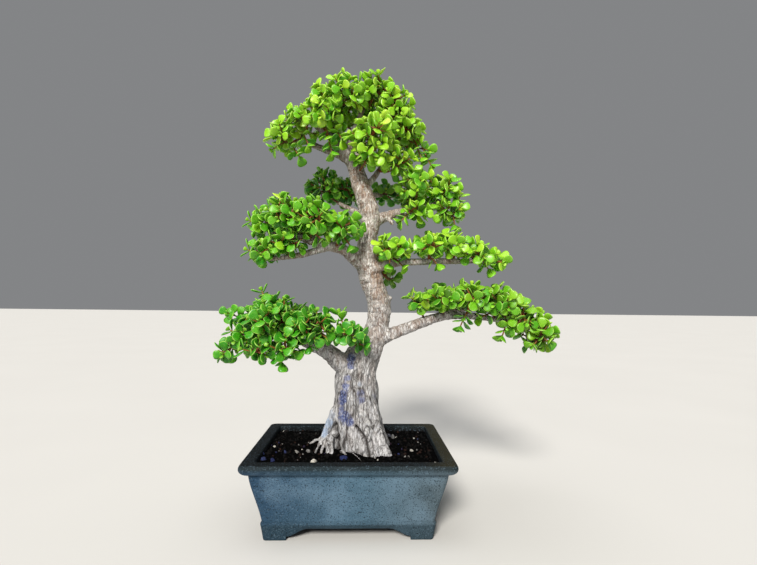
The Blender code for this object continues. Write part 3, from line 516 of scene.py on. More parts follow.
def write_tint(mesh: bpy.types.Mesh, tint: np.ndarray) -> None:
    """Stores three numbers for each point of a mesh, for its finish to read."""
    layer = mesh.attributes.new(TINT, "FLOAT_VECTOR", "POINT")
    layer.data.foreach_set("vector", np.ascontiguousarray(tint, np.float32).ravel())


def add_object(name: str, data: Optional[bpy.types.ID]) -> bpy.types.Object:
    """Adds an object to the scene.

    Args:
        name: Its name.
        data: Its mesh, curve, light or camera, or None.

    Returns:
        The object.
    """
    obj = bpy.data.objects.new(name, data)
    bpy.context.scene.collection.objects.link(obj)
    return obj


def add_piece(name: str, mesh: bpy.types.Mesh, replaced: Sequence[str] = ()) -> bpy.types.Object:
    """Shows a mesh as a piece of the bonsai.

    Args:
        name: The piece's name.
        mesh: Its mesh, in place in the frame.
        replaced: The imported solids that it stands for.

    Returns:
        The new object.
    """
    piece = add_object(name, mesh)
    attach(piece, "root")
    if replaced:
        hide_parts(*replaced)
    log.info("%s: %d points, %d faces", name, len(mesh.vertices), len(mesh.polygons))
    return piece


# Finishes


def add_node(
    tree: bpy.types.NodeTree,
    kind: str,
    inputs: Optional[dict] = None,
    stops: Stops = (),
    **settings,
) -> bpy.types.Node:
    """Adds one node with its settings and links.

    Args:
        tree: The node tree.
        kind: The node's type.
        inputs: For each input, by name or place, a value or the output that feeds it.
        stops: For a colour ramp, its places and sRGB hex colours.
        settings: The node's own settings.

    Returns:
        The new node.
    """
    node = tree.nodes.new(kind)
    for name, value in settings.items():
        setattr(node, name, value)
    for key, value in (inputs or {}).items():
        if isinstance(value, bpy.types.NodeSocket):
            tree.links.new(value, node.inputs[key])
        else:
            node.inputs[key].default_value = value
    for i, (place, code) in enumerate(stops):
        step = node.color_ramp.elements[i] if i < 2 else node.color_ramp.elements.new(place)
        step.position = place
        step.color = linear(code)
    return node


def per_metre(size: float) -> float:
    """The scale that gives a pattern marks of a size in millimetres."""
    return 1 / (size * MM)


@dataclass(frozen=True)
class Reach:
    """How strongly something follows a value of the surface, such as the marks of a pattern or a height.

    It has its least share up to the start and its most from the full place on, which may lie below the start.
    """

    value: Socket
    start: float
    full: float
    most: float = 1.0
    least: float = 0.0


@dataclass(frozen=True)
class Shades:
    """A colour that follows a value of the surface, through places in its range and their hex colours."""

    value: Socket
    stops: Stops


@dataclass
class Recipe:
    """A material in the making: its node tree, its shader and the part's own coordinates."""

    name: str
    roughness: float
    specular: float
    extras: dict = field(default_factory=dict)

    def __post_init__(self) -> None:
        """Starts the material with a shader fed by nothing."""
        self.material = bpy.data.materials.new(self.name)
        self.material.use_nodes = True
        self.tree = self.material.node_tree
        self.shader = self.tree.nodes["Principled BSDF"]
        values = {"Roughness": self.roughness, "Specular IOR Level": self.specular, **self.extras}
        for name, value in values.items():
            self.shader.inputs[name].default_value = value
        self.place = self.add("ShaderNodeTexCoord").outputs["Object"]

    def add(self, kind: str, inputs: Optional[dict] = None, stops: Stops = (), **settings) -> bpy.types.Node:
        """Adds a node to this material."""
        return add_node(self.tree, kind, inputs, stops, **settings)

    def tint(self) -> Sequence[Socket]:
        """The three numbers that the mesh carries for each point."""
        mark = self.add("ShaderNodeAttribute", attribute_name=TINT).outputs["Vector"]
        return self.add("ShaderNodeSeparateXYZ", {"Vector": mark}).outputs

    def marks(self, size: float, detail: float = 2.0, stretch: Row = (), rough: float = 0.5) -> Socket:
        """Draws a soft pattern of marks with a real size.

        Args:
            size: The marks' size in millimetres.
            detail: How many finer layers lie over it.
            stretch: How much finer the marks are along X, Y and Z.
            rough: How strong the finer layers are.

        Returns:
            The output with a value round a half.
        """
        place = self.place
        if stretch:
            place = self.add("ShaderNodeMapping", {"Vector": place, "Scale": stretch}).outputs["Vector"]
        inputs = {"Vector": place, "Scale": per_metre(size), "Detail": detail, "Roughness": rough}
        return self.add("ShaderNodeTexNoise", inputs).outputs["Fac"]

    def colour(self, colour: Socket | Shades | str) -> Socket | tuple:
        """Turns an output, shades or a hex colour into what an input takes.

        Args:
            colour: The output, the shades or the hex code.

        Returns:
            An output, or the four numbers of a colour.
        """
        if isinstance(colour, Shades):
            return self.add("ShaderNodeValToRGB", {"Fac": colour.value}, colour.stops).outputs["Color"]
        return linear(colour) if isinstance(colour, str) else colour

    def share(self, *reaches: Reach) -> Socket:
        """Works out how strongly something shows that follows several values at once.

        Args:
            reaches: How it follows each of them.

        Returns:
            The output with the product of their shares.
        """
        share = None
        for reach in reaches:
            inputs = {
                "Value": reach.value, "From Min": reach.start, "From Max": reach.full,
                "To Min": reach.least, "To Max": reach.most,
            }
            part = self.add("ShaderNodeMapRange", inputs, clamp=True).outputs["Result"]
            if share is not None:
                part = self.add("ShaderNodeMath", {0: share, 1: part}, operation="MULTIPLY").outputs["Value"]
            share = part
        return share

    def coats(self, ground: Socket | Shades | str, *rows: tuple) -> Socket:
        """Lays coats of colour over a ground, one after another.

        Args:
            ground: The lowest colour.
            rows: For each coat its colour and the reaches that its share follows.

        Returns:
            The output with the covered colour.
        """
        for coat, *reaches in rows:
            inputs = {"Factor": self.share(*reaches), 6: self.colour(ground), 7: self.colour(coat)}
            ground = self.add("ShaderNodeMix", inputs, data_type="RGBA").outputs[2]
        return ground

    def finish(
        self, colour: Socket | Shades, reliefs: Sequence[tuple] = (), roughness: Optional[Reach] = None
    ) -> bpy.types.Material:
        """Feeds the shader and hands back the material.

        Args:
            colour: The surface's colour.
            reliefs: Outputs that the surface rises with, each with its depth in millimetres.
            roughness: What its roughness follows, where that varies.

        Returns:
            The material.
        """
        feeds = {"Base Color": self.colour(colour)}
        if roughness:
            feeds["Roughness"] = self.share(roughness)
        for height, depth in reliefs:
            inputs = {"Height": height, "Distance": depth * MM}
            if "Normal" in feeds:
                inputs["Normal"] = feeds["Normal"]
            feeds["Normal"] = self.add("ShaderNodeBump", inputs).outputs["Normal"]
        for name, output in feeds.items():
            self.tree.links.new(output, self.shader.inputs[name])
        return self.material


@dataclass(frozen=True)
class SpeckledStoneware:
    """Iron-speckled stoneware under a thin matt glaze: dry and soft to the eye, with dark pinpoints."""

    middle: Vector
    speck: float = 1.5
    cloud: float = 46.0
    # The wall's middle at the ground along X and Y in metres, and how much it leans out
    wall: Row = (0.1, 0.0685)
    lean: float = 0.25

    def make(self) -> bpy.types.Material:
        """Builds the material.

        Returns:
            The material.
        """
        recipe = Recipe("speckled_stoneware_matt_glaze", 0.72, 0.12)
        inputs = {0: recipe.place, 1: tuple(self.middle)}
        place = recipe.add("ShaderNodeVectorMath", inputs, operation="SUBTRACT").outputs["Vector"]
        x, y, z = recipe.add("ShaderNodeSeparateXYZ", {"Vector": place}).outputs
        normal = recipe.add("ShaderNodeNewGeometry").outputs["Normal"]
        level = recipe.add("ShaderNodeSeparateXYZ", {"Vector": normal}).outputs["Z"]
        cloud = recipe.marks(self.cloud, 3.0)
        # Real specks are half this size; they are drawn coarser so that they show
        speck = recipe.marks(self.speck, 1.0)
        pale = recipe.marks(self.speck * 1.2, 1.0, (1, 1, 1.15))
        # Colour of the rim's level top: near black as painted shade, olive towards the right end
        rim_top_shade = recipe.coats("#060808", ("#2a2614", Reach(x, 0.09, 0.125)))
        colour = recipe.coats(
            "#1b3650",
            ("#4a6577", Reach(x, -0.13, 0.02)),
            ("#4b575d", Reach(x, 0.02, 0.12)),
            ("#6f8a9f", Reach(cloud, 0.44, 0.72, 0.4)),
            ("#2c4250", Reach(cloud, 0.5, 0.3, 0.3)),
            # Belt and feet are darker than the wall between them, and the lip's upper half is painted darker
            # as shade
            ("#1f3039", Reach(z, 0.026, 0.018, 0.75)),
            ("#151e1f", Reach(z, 0.089, 0.096, 0.92)),
            # The rim's level top is painted near black as shade, olive towards its right end
            (rim_top_shade, Reach(level, 0.5, 0.9, 0.96), Reach(z, 0.088, 0.09)),
            # The inside of the wall is painted near black as shade
            ("#030404", Reach(level, 0.5, 0.2), *self.within(recipe, (x, y), z)),
            ("#10171c", Reach(speck, 0.56, 0.68, 0.8)),
            ("#86a0b4", Reach(pale, 0.56, 0.72, 0.16)),
        )
        grain = recipe.marks(self.speck, 3.0, rough=0.7)
        reliefs = [(grain, 0.3), (recipe.marks(14.0), 0.6)]
        return recipe.finish(colour, reliefs, Reach(cloud, 0.3, 0.7, 0.6, 0.74))

    def within(self, recipe: Recipe, sideways: Sequence[Socket], z: Socket) -> list[Reach]:
        """Tells the inside of the wall, which leans like its outside.

        Args:
            recipe: The material in the making.
            sideways: The outputs with a place's X and Y from the pot's middle.
            z: The output with its height.

        Returns:
            For both ways, full inside the wall and nothing outside it.
        """
        reaches = []
        for side, middle in zip(sideways, self.wall):
            away = recipe.add("ShaderNodeMath", {0: side}, operation="ABSOLUTE").outputs["Value"]
            inputs = {0: z, 1: -self.lean, 2: away}
            upright = recipe.add("ShaderNodeMath", inputs, operation="MULTIPLY_ADD").outputs["Value"]
            reaches.append(Reach(upright, middle + MM, middle - MM))
        return reaches


@dataclass(frozen=True)
class MouldedScreenPlastic:
    """Injection-moulded polyethylene mesh: near black, with a faint satin."""

    def make(self) -> bpy.types.Material:
        """Builds the material.

        Returns:
            The material.
        """
        recipe = Recipe("moulded_polyethylene_mesh", 0.5, 0.4)
        colour = Shades(recipe.marks(9.0), ((0.3, "#161a18"), (0.7, "#262b28")))
        return recipe.finish(colour, [(recipe.marks(1.5), 0.08)])


@dataclass(frozen=True)
class PottingMix:
    """Damp bark humus and grit, sieved: nearly black, with crumbs painted a little lighter as highlight."""

    crumb: float = 3.0

    def make(self) -> bpy.types.Material:
        """Builds the material.

        Returns:
            The material.
        """
        recipe = Recipe("damp_potting_mix", 0.95, 0.03)
        crumbs = recipe.marks(self.crumb, 3.0)
        colour = Shades(crumbs, ((0.32, "#010101"), (0.6, "#030303"), (0.8, "#100e0c")))
        return recipe.finish(colour, [(recipe.marks(self.crumb, 4.0, rough=0.7), 1.2)])


@dataclass(frozen=True)
class CrushedGrit:
    """Crushed lava, slate and pumice: each grain its own shade, dull and pitted."""

    pit: float = 1.3

    def make(self) -> bpy.types.Material:
        """Builds the material.

        Returns:
            The material.
        """
        recipe = Recipe("crushed_lava_and_pumice", 0.85, 0.12)
        colour = Shades(recipe.tint()["X"], (
            (0.0, "#020202"), (0.5, "#080707"), (0.62, "#321f18"), (0.73, "#26305c"),
            (0.82, "#5b5c60"), (1.0, "#c9c5bc"),
        ))
        pits = recipe.marks(self.pit, 3.0)
        # The pits are painted darker as shade, where the relief sinks
        return recipe.finish(recipe.coats(colour, ("#050404", Reach(pits, 0.6, 0.35, 0.7))), [(pits, 0.4)])


@dataclass(frozen=True)
class JadeBark:
    """Thin papery bark of a succulent trunk: chalky grey, crazed all over, warmer on young wood."""

    fibre: float = 2.0
    crazing: float = 4.2
    # How far the creases stray from straight lines, in metres, the size of their bends, and their stretch
    stray: Row = (0.007, 0.007, 0.004)
    bend: float = 9.0
    upright: Row = (1.0, 1.0, 0.27)

    def make(self) -> bpy.types.Material:
        """Builds the material.

        Returns:
            The material.
        """
        recipe = Recipe("papery_succulent_bark", 0.82, 0.25)
        scar, youth, fold = recipe.tint()
        height = recipe.add("ShaderNodeSeparateXYZ", {"Vector": recipe.place}).outputs["Z"]
        edge = self.crease_distance(recipe)
        flecks = recipe.marks(5.0, 5.0, (1, 1, 0.5), 0.7)
        threads = recipe.marks(self.fibre, 4.0, (1, 1, 0.17), 0.65)
        tan = recipe.marks(14.0, 5.0, (1, 1, 0.4), 0.65)
        patches = recipe.marks(11.0, 3.0)
        foot = Shades(flecks, ((0.3, "#65666c"), (0.48, "#9d9ea3"), (0.64, "#c9cacd")))
        crown = Shades(flecks, ((0.34, "#5a5049"), (0.49, "#a9a19a"), (0.61, "#e8e4df")))
        young = Shades(flecks, ((0.3, "#54453a"), (0.55, "#8a7462"), (0.72, "#b9a794")))
        dots = recipe.marks(2.8, 5.0, rough=0.65)
        lichen = Shades(dots, ((0.36, "#141c40"), (0.52, "#384b85"), (0.66, "#a3aecb")))
        # The creases of the old foot are painted near black as shade, and fresh bark shows brown in those
        # above
        hollow = recipe.coats("#2b2625", ("#69462f", Reach(height, 0.2, 0.34)))
        dry = recipe.coats("#4a423d", ("#7b5e47", Reach(height, 0.2, 0.34)))
        colour = recipe.coats(
            foot,
            (crown, Reach(height, 0.18, 0.4)),
            ("#805a37", Reach(tan, 0.5, 0.58, 0.65), Reach(height, 0.16, 0.34, 1.0, 0.2)),
            # The limbs under the crown are darkened as painted shade from the crown
            ("#4f4645", Reach(height, 0.46, 0.53, 0.6)),
            (young, Reach(youth, 0.0, 1.0)),
            # Each crease lies between two rims lightened as painted highlight
            ("#e2dfda", Reach(edge, 0.26, 0.1, 0.25)),
            # The creases take painted shade at the foot and brown higher up
            (hollow, Reach(edge, 0.12, 0.0), Reach(patches, 0.36, 0.62, 0.85, 0.05)),
            # Half bleached it is chalk white, and wholly bleached it takes on a cold blue
            ("#cdcdd0", Reach(scar, 0.0, -0.6, 0.6)),
            ("#9db2cf", Reach(scar, -0.65, -1.0, 0.8)),
            ("#666c90", Reach(scar, 0.05, 0.6, 0.7)),
            (lichen, Reach(scar, 0.35, 0.95, 0.92)),
            # Folds and cracks are painted near black as shade
            ("#171211", Reach(fold, 0.15, 0.9, 0.95)),
            (dry, Reach(threads, 0.52, 0.34, 0.65)),
            ("#e4e2df", Reach(threads, 0.54, 0.7, 0.3)),
        )
        raised = recipe.share(Reach(edge, 0.0, 0.12))
        return recipe.finish(colour, [(threads, 0.8), (flecks, 0.9), (raised, 0.7)])

    def crease_distance(self, recipe: Recipe) -> Socket:
        """Draws a net of fine creases, longer up the limb than across.

        Args:
            recipe: The material in the making.

        Returns:
            The output with the distance from the nearest crease, as a share of their spacing.
        """
        inputs = {"Vector": recipe.place, "Scale": per_metre(self.bend), "Detail": 3.0}
        stray = recipe.add("ShaderNodeTexNoise", inputs).outputs["Color"]
        inputs = {0: stray, 1: self.stray, 2: recipe.place}
        place = recipe.add("ShaderNodeVectorMath", inputs, operation="MULTIPLY_ADD").outputs["Vector"]
        place = recipe.add("ShaderNodeMapping", {"Vector": place, "Scale": self.upright}).outputs["Vector"]
        inputs = {"Vector": place, "Scale": per_metre(self.crazing)}
        return recipe.add("ShaderNodeTexVoronoi", inputs, feature="DISTANCE_TO_EDGE").outputs["Distance"]


@dataclass(frozen=True)
class JadeLeafSkin:
    """Waxy skin of a water-filled leaf: bright and softly glossy, with a pale rim that is partly its own
    paler margin and partly painted glow, and painted shade where its tint calls for it.
    """

    mottle: float = 5.0
    pore: float = 1.6

    def make(self) -> bpy.types.Material:
        """Builds the material.

        Returns:
            The material.
        """
        recipe = Recipe("waxy_jade_leaf", 0.36, 0.3, {
            "Subsurface Weight": 0.2, "Subsurface Radius": (0.6, 1.0, 0.15), "Subsurface Scale": 0.0015,
            "Coat Weight": 0.15, "Coat Roughness": 0.24,
        })
        yellow, youth, rim = recipe.tint()
        mottle = recipe.marks(self.mottle)
        colour = recipe.coats(
            Shades(yellow, ((0.0, "#23830e"), (0.35, "#52a412"), (0.65, "#88c01f"), (1.0, "#bbd93a"))),
            ("#93c94a", Reach(mottle, 0.35, 0.7, 0.2)),
            ("#c2dc4c", Reach(youth, 0.0, 1.0, 0.5)),
            # Leaves with painted shade are darkened
            ("#123d06", Reach(youth, 0.0, -1.0, 0.75)),
            # A pale rim, partly the leaf's own paler margin and partly painted glow
            ("#bfe06a", Reach(rim, 0.6, 1.0, 0.5)),
        )
        reliefs = [(recipe.marks(self.pore, 1.0), 0.05)]
        return recipe.finish(colour, reliefs, Reach(mottle, 0.3, 0.7, 0.44, 0.3))


@dataclass(frozen=True)
class JadeStemSkin:
    """Young stem of a dwarf jade: smooth mahogany red, greener at its growing tip."""

    streak: float = 2.5

    def make(self) -> bpy.types.Material:
        """Builds the material.

        Returns:
            The material.
        """
        recipe = Recipe("mahogany_red_stem", 0.5, 0.4)
        streak = recipe.marks(self.streak)
        colour = Shades(streak, ((0.3, "#5a2a1a"), (0.6, "#8a4526"), (0.8, "#a86a3c")))
        colour = recipe.coats(colour, ("#93a03a", Reach(recipe.tint()["Y"], 0.0, 1.0, 0.5)))
        return recipe.finish(colour, [(streak, 0.15)])


@dataclass(frozen=True)
class StudioFloor:
    """Matt rolled paper: pale and even, with a barely seen tooth."""

    cloud: float = 400.0

    def make(self) -> bpy.types.Material:
        """Builds the material."""
        recipe = Recipe("matt_rolled_paper", 0.9, 0.2)
        return recipe.finish(Shades(recipe.marks(self.cloud), ((0.3, "#c9c8c5"), (0.7, "#cbcac7"))))


# Pot


@dataclass
class Pot:
    """The footed rectangular pot. Sizes in millimetres."""

    width: float = 270.0
    depth: float = 207.0
    height: float = 100.0
    rim_corner: float = 9.0
    corner_taper: float = 0.18
    corner_least: float = 3.5
    lip: float = 8.0
    lip_middle: float = 94.5
    lip_round: float = 7.5
    lip_turns: range = range(90, -56, -8)
    rim_top: Row = (6.0, 9.0, 12.0)
    rim_top_width: float = 17.5
    rim_under: float = 0.8
    neck_inset: float = 10.5
    neck_height: float = 84.0
    wall: float = 7.5
    inner_levels: Pair = (90.0, 70.0)
    body_curve: float = 0.4
    body_steps: int = 22
    belt_top: float = 22.0
    belt_step: float = 1.6
    belt_edge_low: float = 2.0
    belt_start: float = 0.2
    belt_rings: Row = (0.1, 0.25, 0.4, 0.55, 0.7, 0.85, 1.0)
    body_foot_inset: float = 26.0
    base_inset: float = 28.0
    skirt: float = 13.0
    floor_under: float = 15.0
    floor_top: float = 23.0
    floor_cove: float = 4.0
    gap_height: float = 13.7
    foot_step: float = 4.5
    # Along half a side: where the skirt's gap is level, where it ends, and the last place before the corner
    long_side: Row = (52.0, 78.0, 86.0)
    short_side: Row = (24.0, 48.0, 56.0)
    level_steps: int = 7
    slope_steps: int = 12
    foot_edges: Row = (-0.4, -0.1, 0.3)
    # How the edges are eased: in each pair how far inward, then how far up
    skirt_inside: tuple[Pair, ...] = ((0.0, 15.0), (0.0, 1.2), (-0.3, 0.3), (-1.2, 0.0))
    skirt_outside: tuple[Pair, ...] = ((1.2, 0.0), (0.3, 0.25), (-0.1, 0.9))
    belt_edge: tuple[Pair, ...] = ((0.0, -1.0), (0.15, -0.3), (0.6, 0.0))
    body_foot: tuple[Pair, ...] = ((-0.5, 0.15), (0.0, 0.8))
    under_lip: tuple[Pair, ...] = ((0.0, 0.0), (-0.2, 1.6), (-1.0, 2.6))
    rim_inside: tuple[Pair, ...] = ((-2.6, 0.0), (-1.5, -0.25), (-0.5, -0.8), (0.0, -1.8))
    drain_radius: float = 10.0
    drain_x: float = 58.0
    drain_steps: int = 48
    drain_past: float = 4.0
    # Unevenness of hand work: its depth, where it stops, and the size and strength of its waves
    hand_wobble: float = 0.35
    even_foot: float = 3.0
    even_rim: float = 0.5
    waves: tuple[Pair, ...] = ((27.0, 0.5), (6.0, 0.2))
    corner_steps: int = 8
    crease: float = 50.0

    def body_inset(self, level: float) -> float:
        """How far the outer wall lies inside the rim's outline at a height.

        Args:
            level: The height.

        Returns:
            The distance inwards.
        """
        share = (self.neck_height - level) / (self.neck_height - self.belt_top)
        swing = (1 - self.body_curve) * min(1.0, max(0.0, share)) + self.body_curve * smooth(share)
        return self.neck_inset + (self.body_foot_inset - self.neck_inset) * swing

    def arch(self, distance: float, side: Row) -> float:
        """Works out the skirt's lower edge.

        Args:
            distance: How far from the side's middle.
            side: The row of the side.

        Returns:
            The edge's height there.
        """
        level, wide, _ = side
        if distance >= wide:
            return 0.0
        rise = self.gap_height - self.foot_step
        return self.foot_step + rise * smooth((wide - distance) / (wide - level))

    def stations(self, side: Row) -> list[float]:
        """Places where every ring of the pot has a point, from one end of a side to the other.

        Args:
            side: Where its level middle, its slope and the side end, from its middle outwards.

        Returns:
            The places, in millimetres from the side's middle.
        """
        level, wide, end = side
        middle = [level * k / self.level_steps for k in range(self.level_steps)]
        slope = [level + (wide - level) * k / self.slope_steps for k in range(self.slope_steps)]
        foot = [wide + step for step in self.foot_edges]
        half = middle + slope + foot + [(foot[-1] + end) / 2, end]
        return [-place for place in reversed(half)] + half[1:]

    def ring(self, inset: float, lift: Callable[[float], float]) -> list[Vector]:
        """One outline of the pot, with the same number of points at every height.

        Args:
            inset: How far it lies inside the rim's outline.
            lift: Gives the height of a point from the skirt's lower edge there.

        Returns:
            The points, against the clock from the right-hand back corner.
        """
        radius = max(self.corner_least, self.rim_corner - self.corner_taper * inset)
        half = (self.width / 2 - inset, self.depth / 2 - inset)
        points: list[Vector] = []
        for quarter, corner in enumerate(round_corners(half, radius, self.corner_steps)):
            points += [Vector((x, y, lift(0.0))) for x, y in corner]
            # After the first and third corners comes a long side, after the others a short one
            out = 1 if quarter in (0, 3) else -1
            side = self.short_side if quarter % 2 else self.long_side
            for place in self.stations(side):
                level = lift(self.arch(abs(place), side))
                if quarter % 2:
                    points.append(Vector((out * half[0], out * place, level)))
                else:
                    points.append(Vector((-out * place, out * half[1], level)))
        return points

    def eased(self, inset: float, level: float, edge: Sequence[Pair]) -> list[Pair]:
        """Heights and insets round an edge that would be sharp at a place."""
        return [(level + up, inset + inward) for inward, up in edge]

    def outer_wall(self) -> list[Pair]:
        """Draws the wall's section above the skirt.

        Returns:
            Height and inset up the outside, over the rim and down the inside to the floor.
        """
        profile = self.eased(self.body_foot_inset - self.belt_step, self.belt_top, self.belt_edge)
        profile += self.eased(self.body_foot_inset, self.belt_top, self.body_foot)
        for share in [k / self.body_steps for k in range(1, self.body_steps)]:
            level = self.belt_top + share * (self.neck_height - self.belt_top)
            profile.append((level, self.body_inset(level)))
        profile += self.eased(self.neck_inset, self.neck_height, self.under_lip)
        for angle in (math.radians(degrees) for degrees in self.lip_turns):
            level = self.lip_middle - self.lip_round * math.sin(angle)
            profile.append((min(self.height, level), self.lip * (1 - math.cos(angle))))
        profile += [(self.height, inset) for inset in self.rim_top]
        profile += self.eased(self.rim_top_width, self.height, self.rim_inside)
        high, low = self.inner_levels
        profile += [(high, self.rim_top_width + self.rim_under), (low, self.body_inset(low) + self.wall)]
        return profile + [(self.floor_top, self.body_foot_inset + self.wall + self.floor_cove)]

    def rings(self) -> list[list[Vector]]:
        """Draws every outline.

        Returns:
            The outlines, from the hollow under the floor, round the feet and over the rim, to the floor.
        """
        foot = self.base_inset
        edges = [(foot + self.skirt + inward, up) for inward, up in self.skirt_inside]
        edges += [(foot + inward, up) for inward, up in self.skirt_outside]
        made = [self.ring(inset, lambda edge, up=up: min(edge + up, self.floor_under)) for inset, up in edges]
        # From the skirt to the belt the outlines even out the arches of the gaps
        up = self.skirt_outside[-1][1]
        insets = (foot - self.belt_start, self.body_foot_inset - self.belt_step)
        top = self.belt_top - self.belt_edge_low
        for share in self.belt_rings:
            made.append(self.ring(mixed(insets, share), lambda edge, s=share: mixed((edge + up, top), s)))
        made += [self.ring(inset, lambda edge, z=level: z) for level, inset in self.outer_wall()]
        return [[self.wobbled(point) for point in ring] for ring in made]

    def wobbled(self, point: Vector) -> Vector:
        """Draws a point of the outside in by the unevenness of hand work.

        Args:
            point: The point.

        Returns:
            Where it comes to lie.
        """
        if not self.even_foot <= point.z <= self.height - self.even_rim:
            return point
        sway = sum((strength * noise.noise(point / size) for size, strength in self.waves), 0.5)
        inward = Vector((-point.x, -point.y, 0.0)).normalized()
        return point + inward * self.hand_wobble * max(0.0, sway)

    def drain(self, x: float) -> bpy.types.Object:
        """A round bar that stands where a drain hole goes.

        Args:
            x: How far the hole lies to the right.

        Returns:
            The bar.
        """
        bm, radius = bmesh.new(), self.drain_radius
        loft(bm, [
            [mm(x + radius * cos, radius * sin, z) for cos, sin in circle(self.drain_steps)]
            for z in (self.floor_under - self.drain_past, self.floor_top + self.drain_past)
        ])
        return object_from(bm, "drain_bar")

    def build(self, layout: Layout) -> bpy.types.Object:
        """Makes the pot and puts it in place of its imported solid.

        Args:
            layout: Where the pot stands.

        Returns:
            The piece.
        """
        bm = bmesh.new()
        loft(bm, [[point * MM for point in ring] for ring in self.rings()])
        body = object_from(bm, "pot_body")
        for x in (-self.drain_x, self.drain_x):
            bar = self.drain(x)
            step = body.modifiers.new("drain", "BOOLEAN")
            step.operation, step.solver, step.object = "DIFFERENCE", "EXACT", bar
            apply_all(body)
            bpy.data.objects.remove(bar)
        mesh = body.data
        bpy.data.objects.remove(body)
        mesh.materials.append(SpeckledStoneware(layout.shift).make())
        mesh.shade_smooth()
        mesh.set_sharp_from_angle(angle=math.radians(self.crease))
        return add_piece("stoneware_pot", layout.settle(mesh), ["pot"])


def object_from(bm: bmesh.types.BMesh, name: str) -> bpy.types.Object:
    """Makes a plain object, as a step in making a piece.

    Args:
        bm: Its shape, whose faces are turned outward and which is freed.
        name: Its name.

    Returns:
        The object.
    """
    bmesh.ops.recalc_face_normals(bm, faces=bm.faces)
    mesh = bpy.data.meshes.new(name)
    bm.to_mesh(mesh)
    bm.free()
    return add_object(name, mesh)


def apply_all(obj: bpy.types.Object) -> None:
    """Bakes an object's modifiers into its mesh.

    Args:
        obj: The object.
    """
    bpy.context.view_layer.update()
    made = bpy.data.meshes.new_from_object(obj.evaluated_get(bpy.context.evaluated_depsgraph_get()))
    obj.modifiers.clear()
    obj.data = made


# Soil


@dataclass(frozen=True)
class Ball:
    """The pattern that grains are dented from: its points, one row each, and its faces."""

    points: np.ndarray
    faces: list[list[int]]

    @classmethod
    def make(cls) -> "Ball":
        """Reads a small ball's points and faces.

        Returns:
            The ball.
        """
        ball = bmesh.new()
        bmesh.ops.create_icosphere(ball, subdivisions=2, radius=1.0)
        made = cls(np.array([v.co for v in ball.verts]), [[v.index for v in f.verts] for f in ball.faces])
        ball.free()
        return made


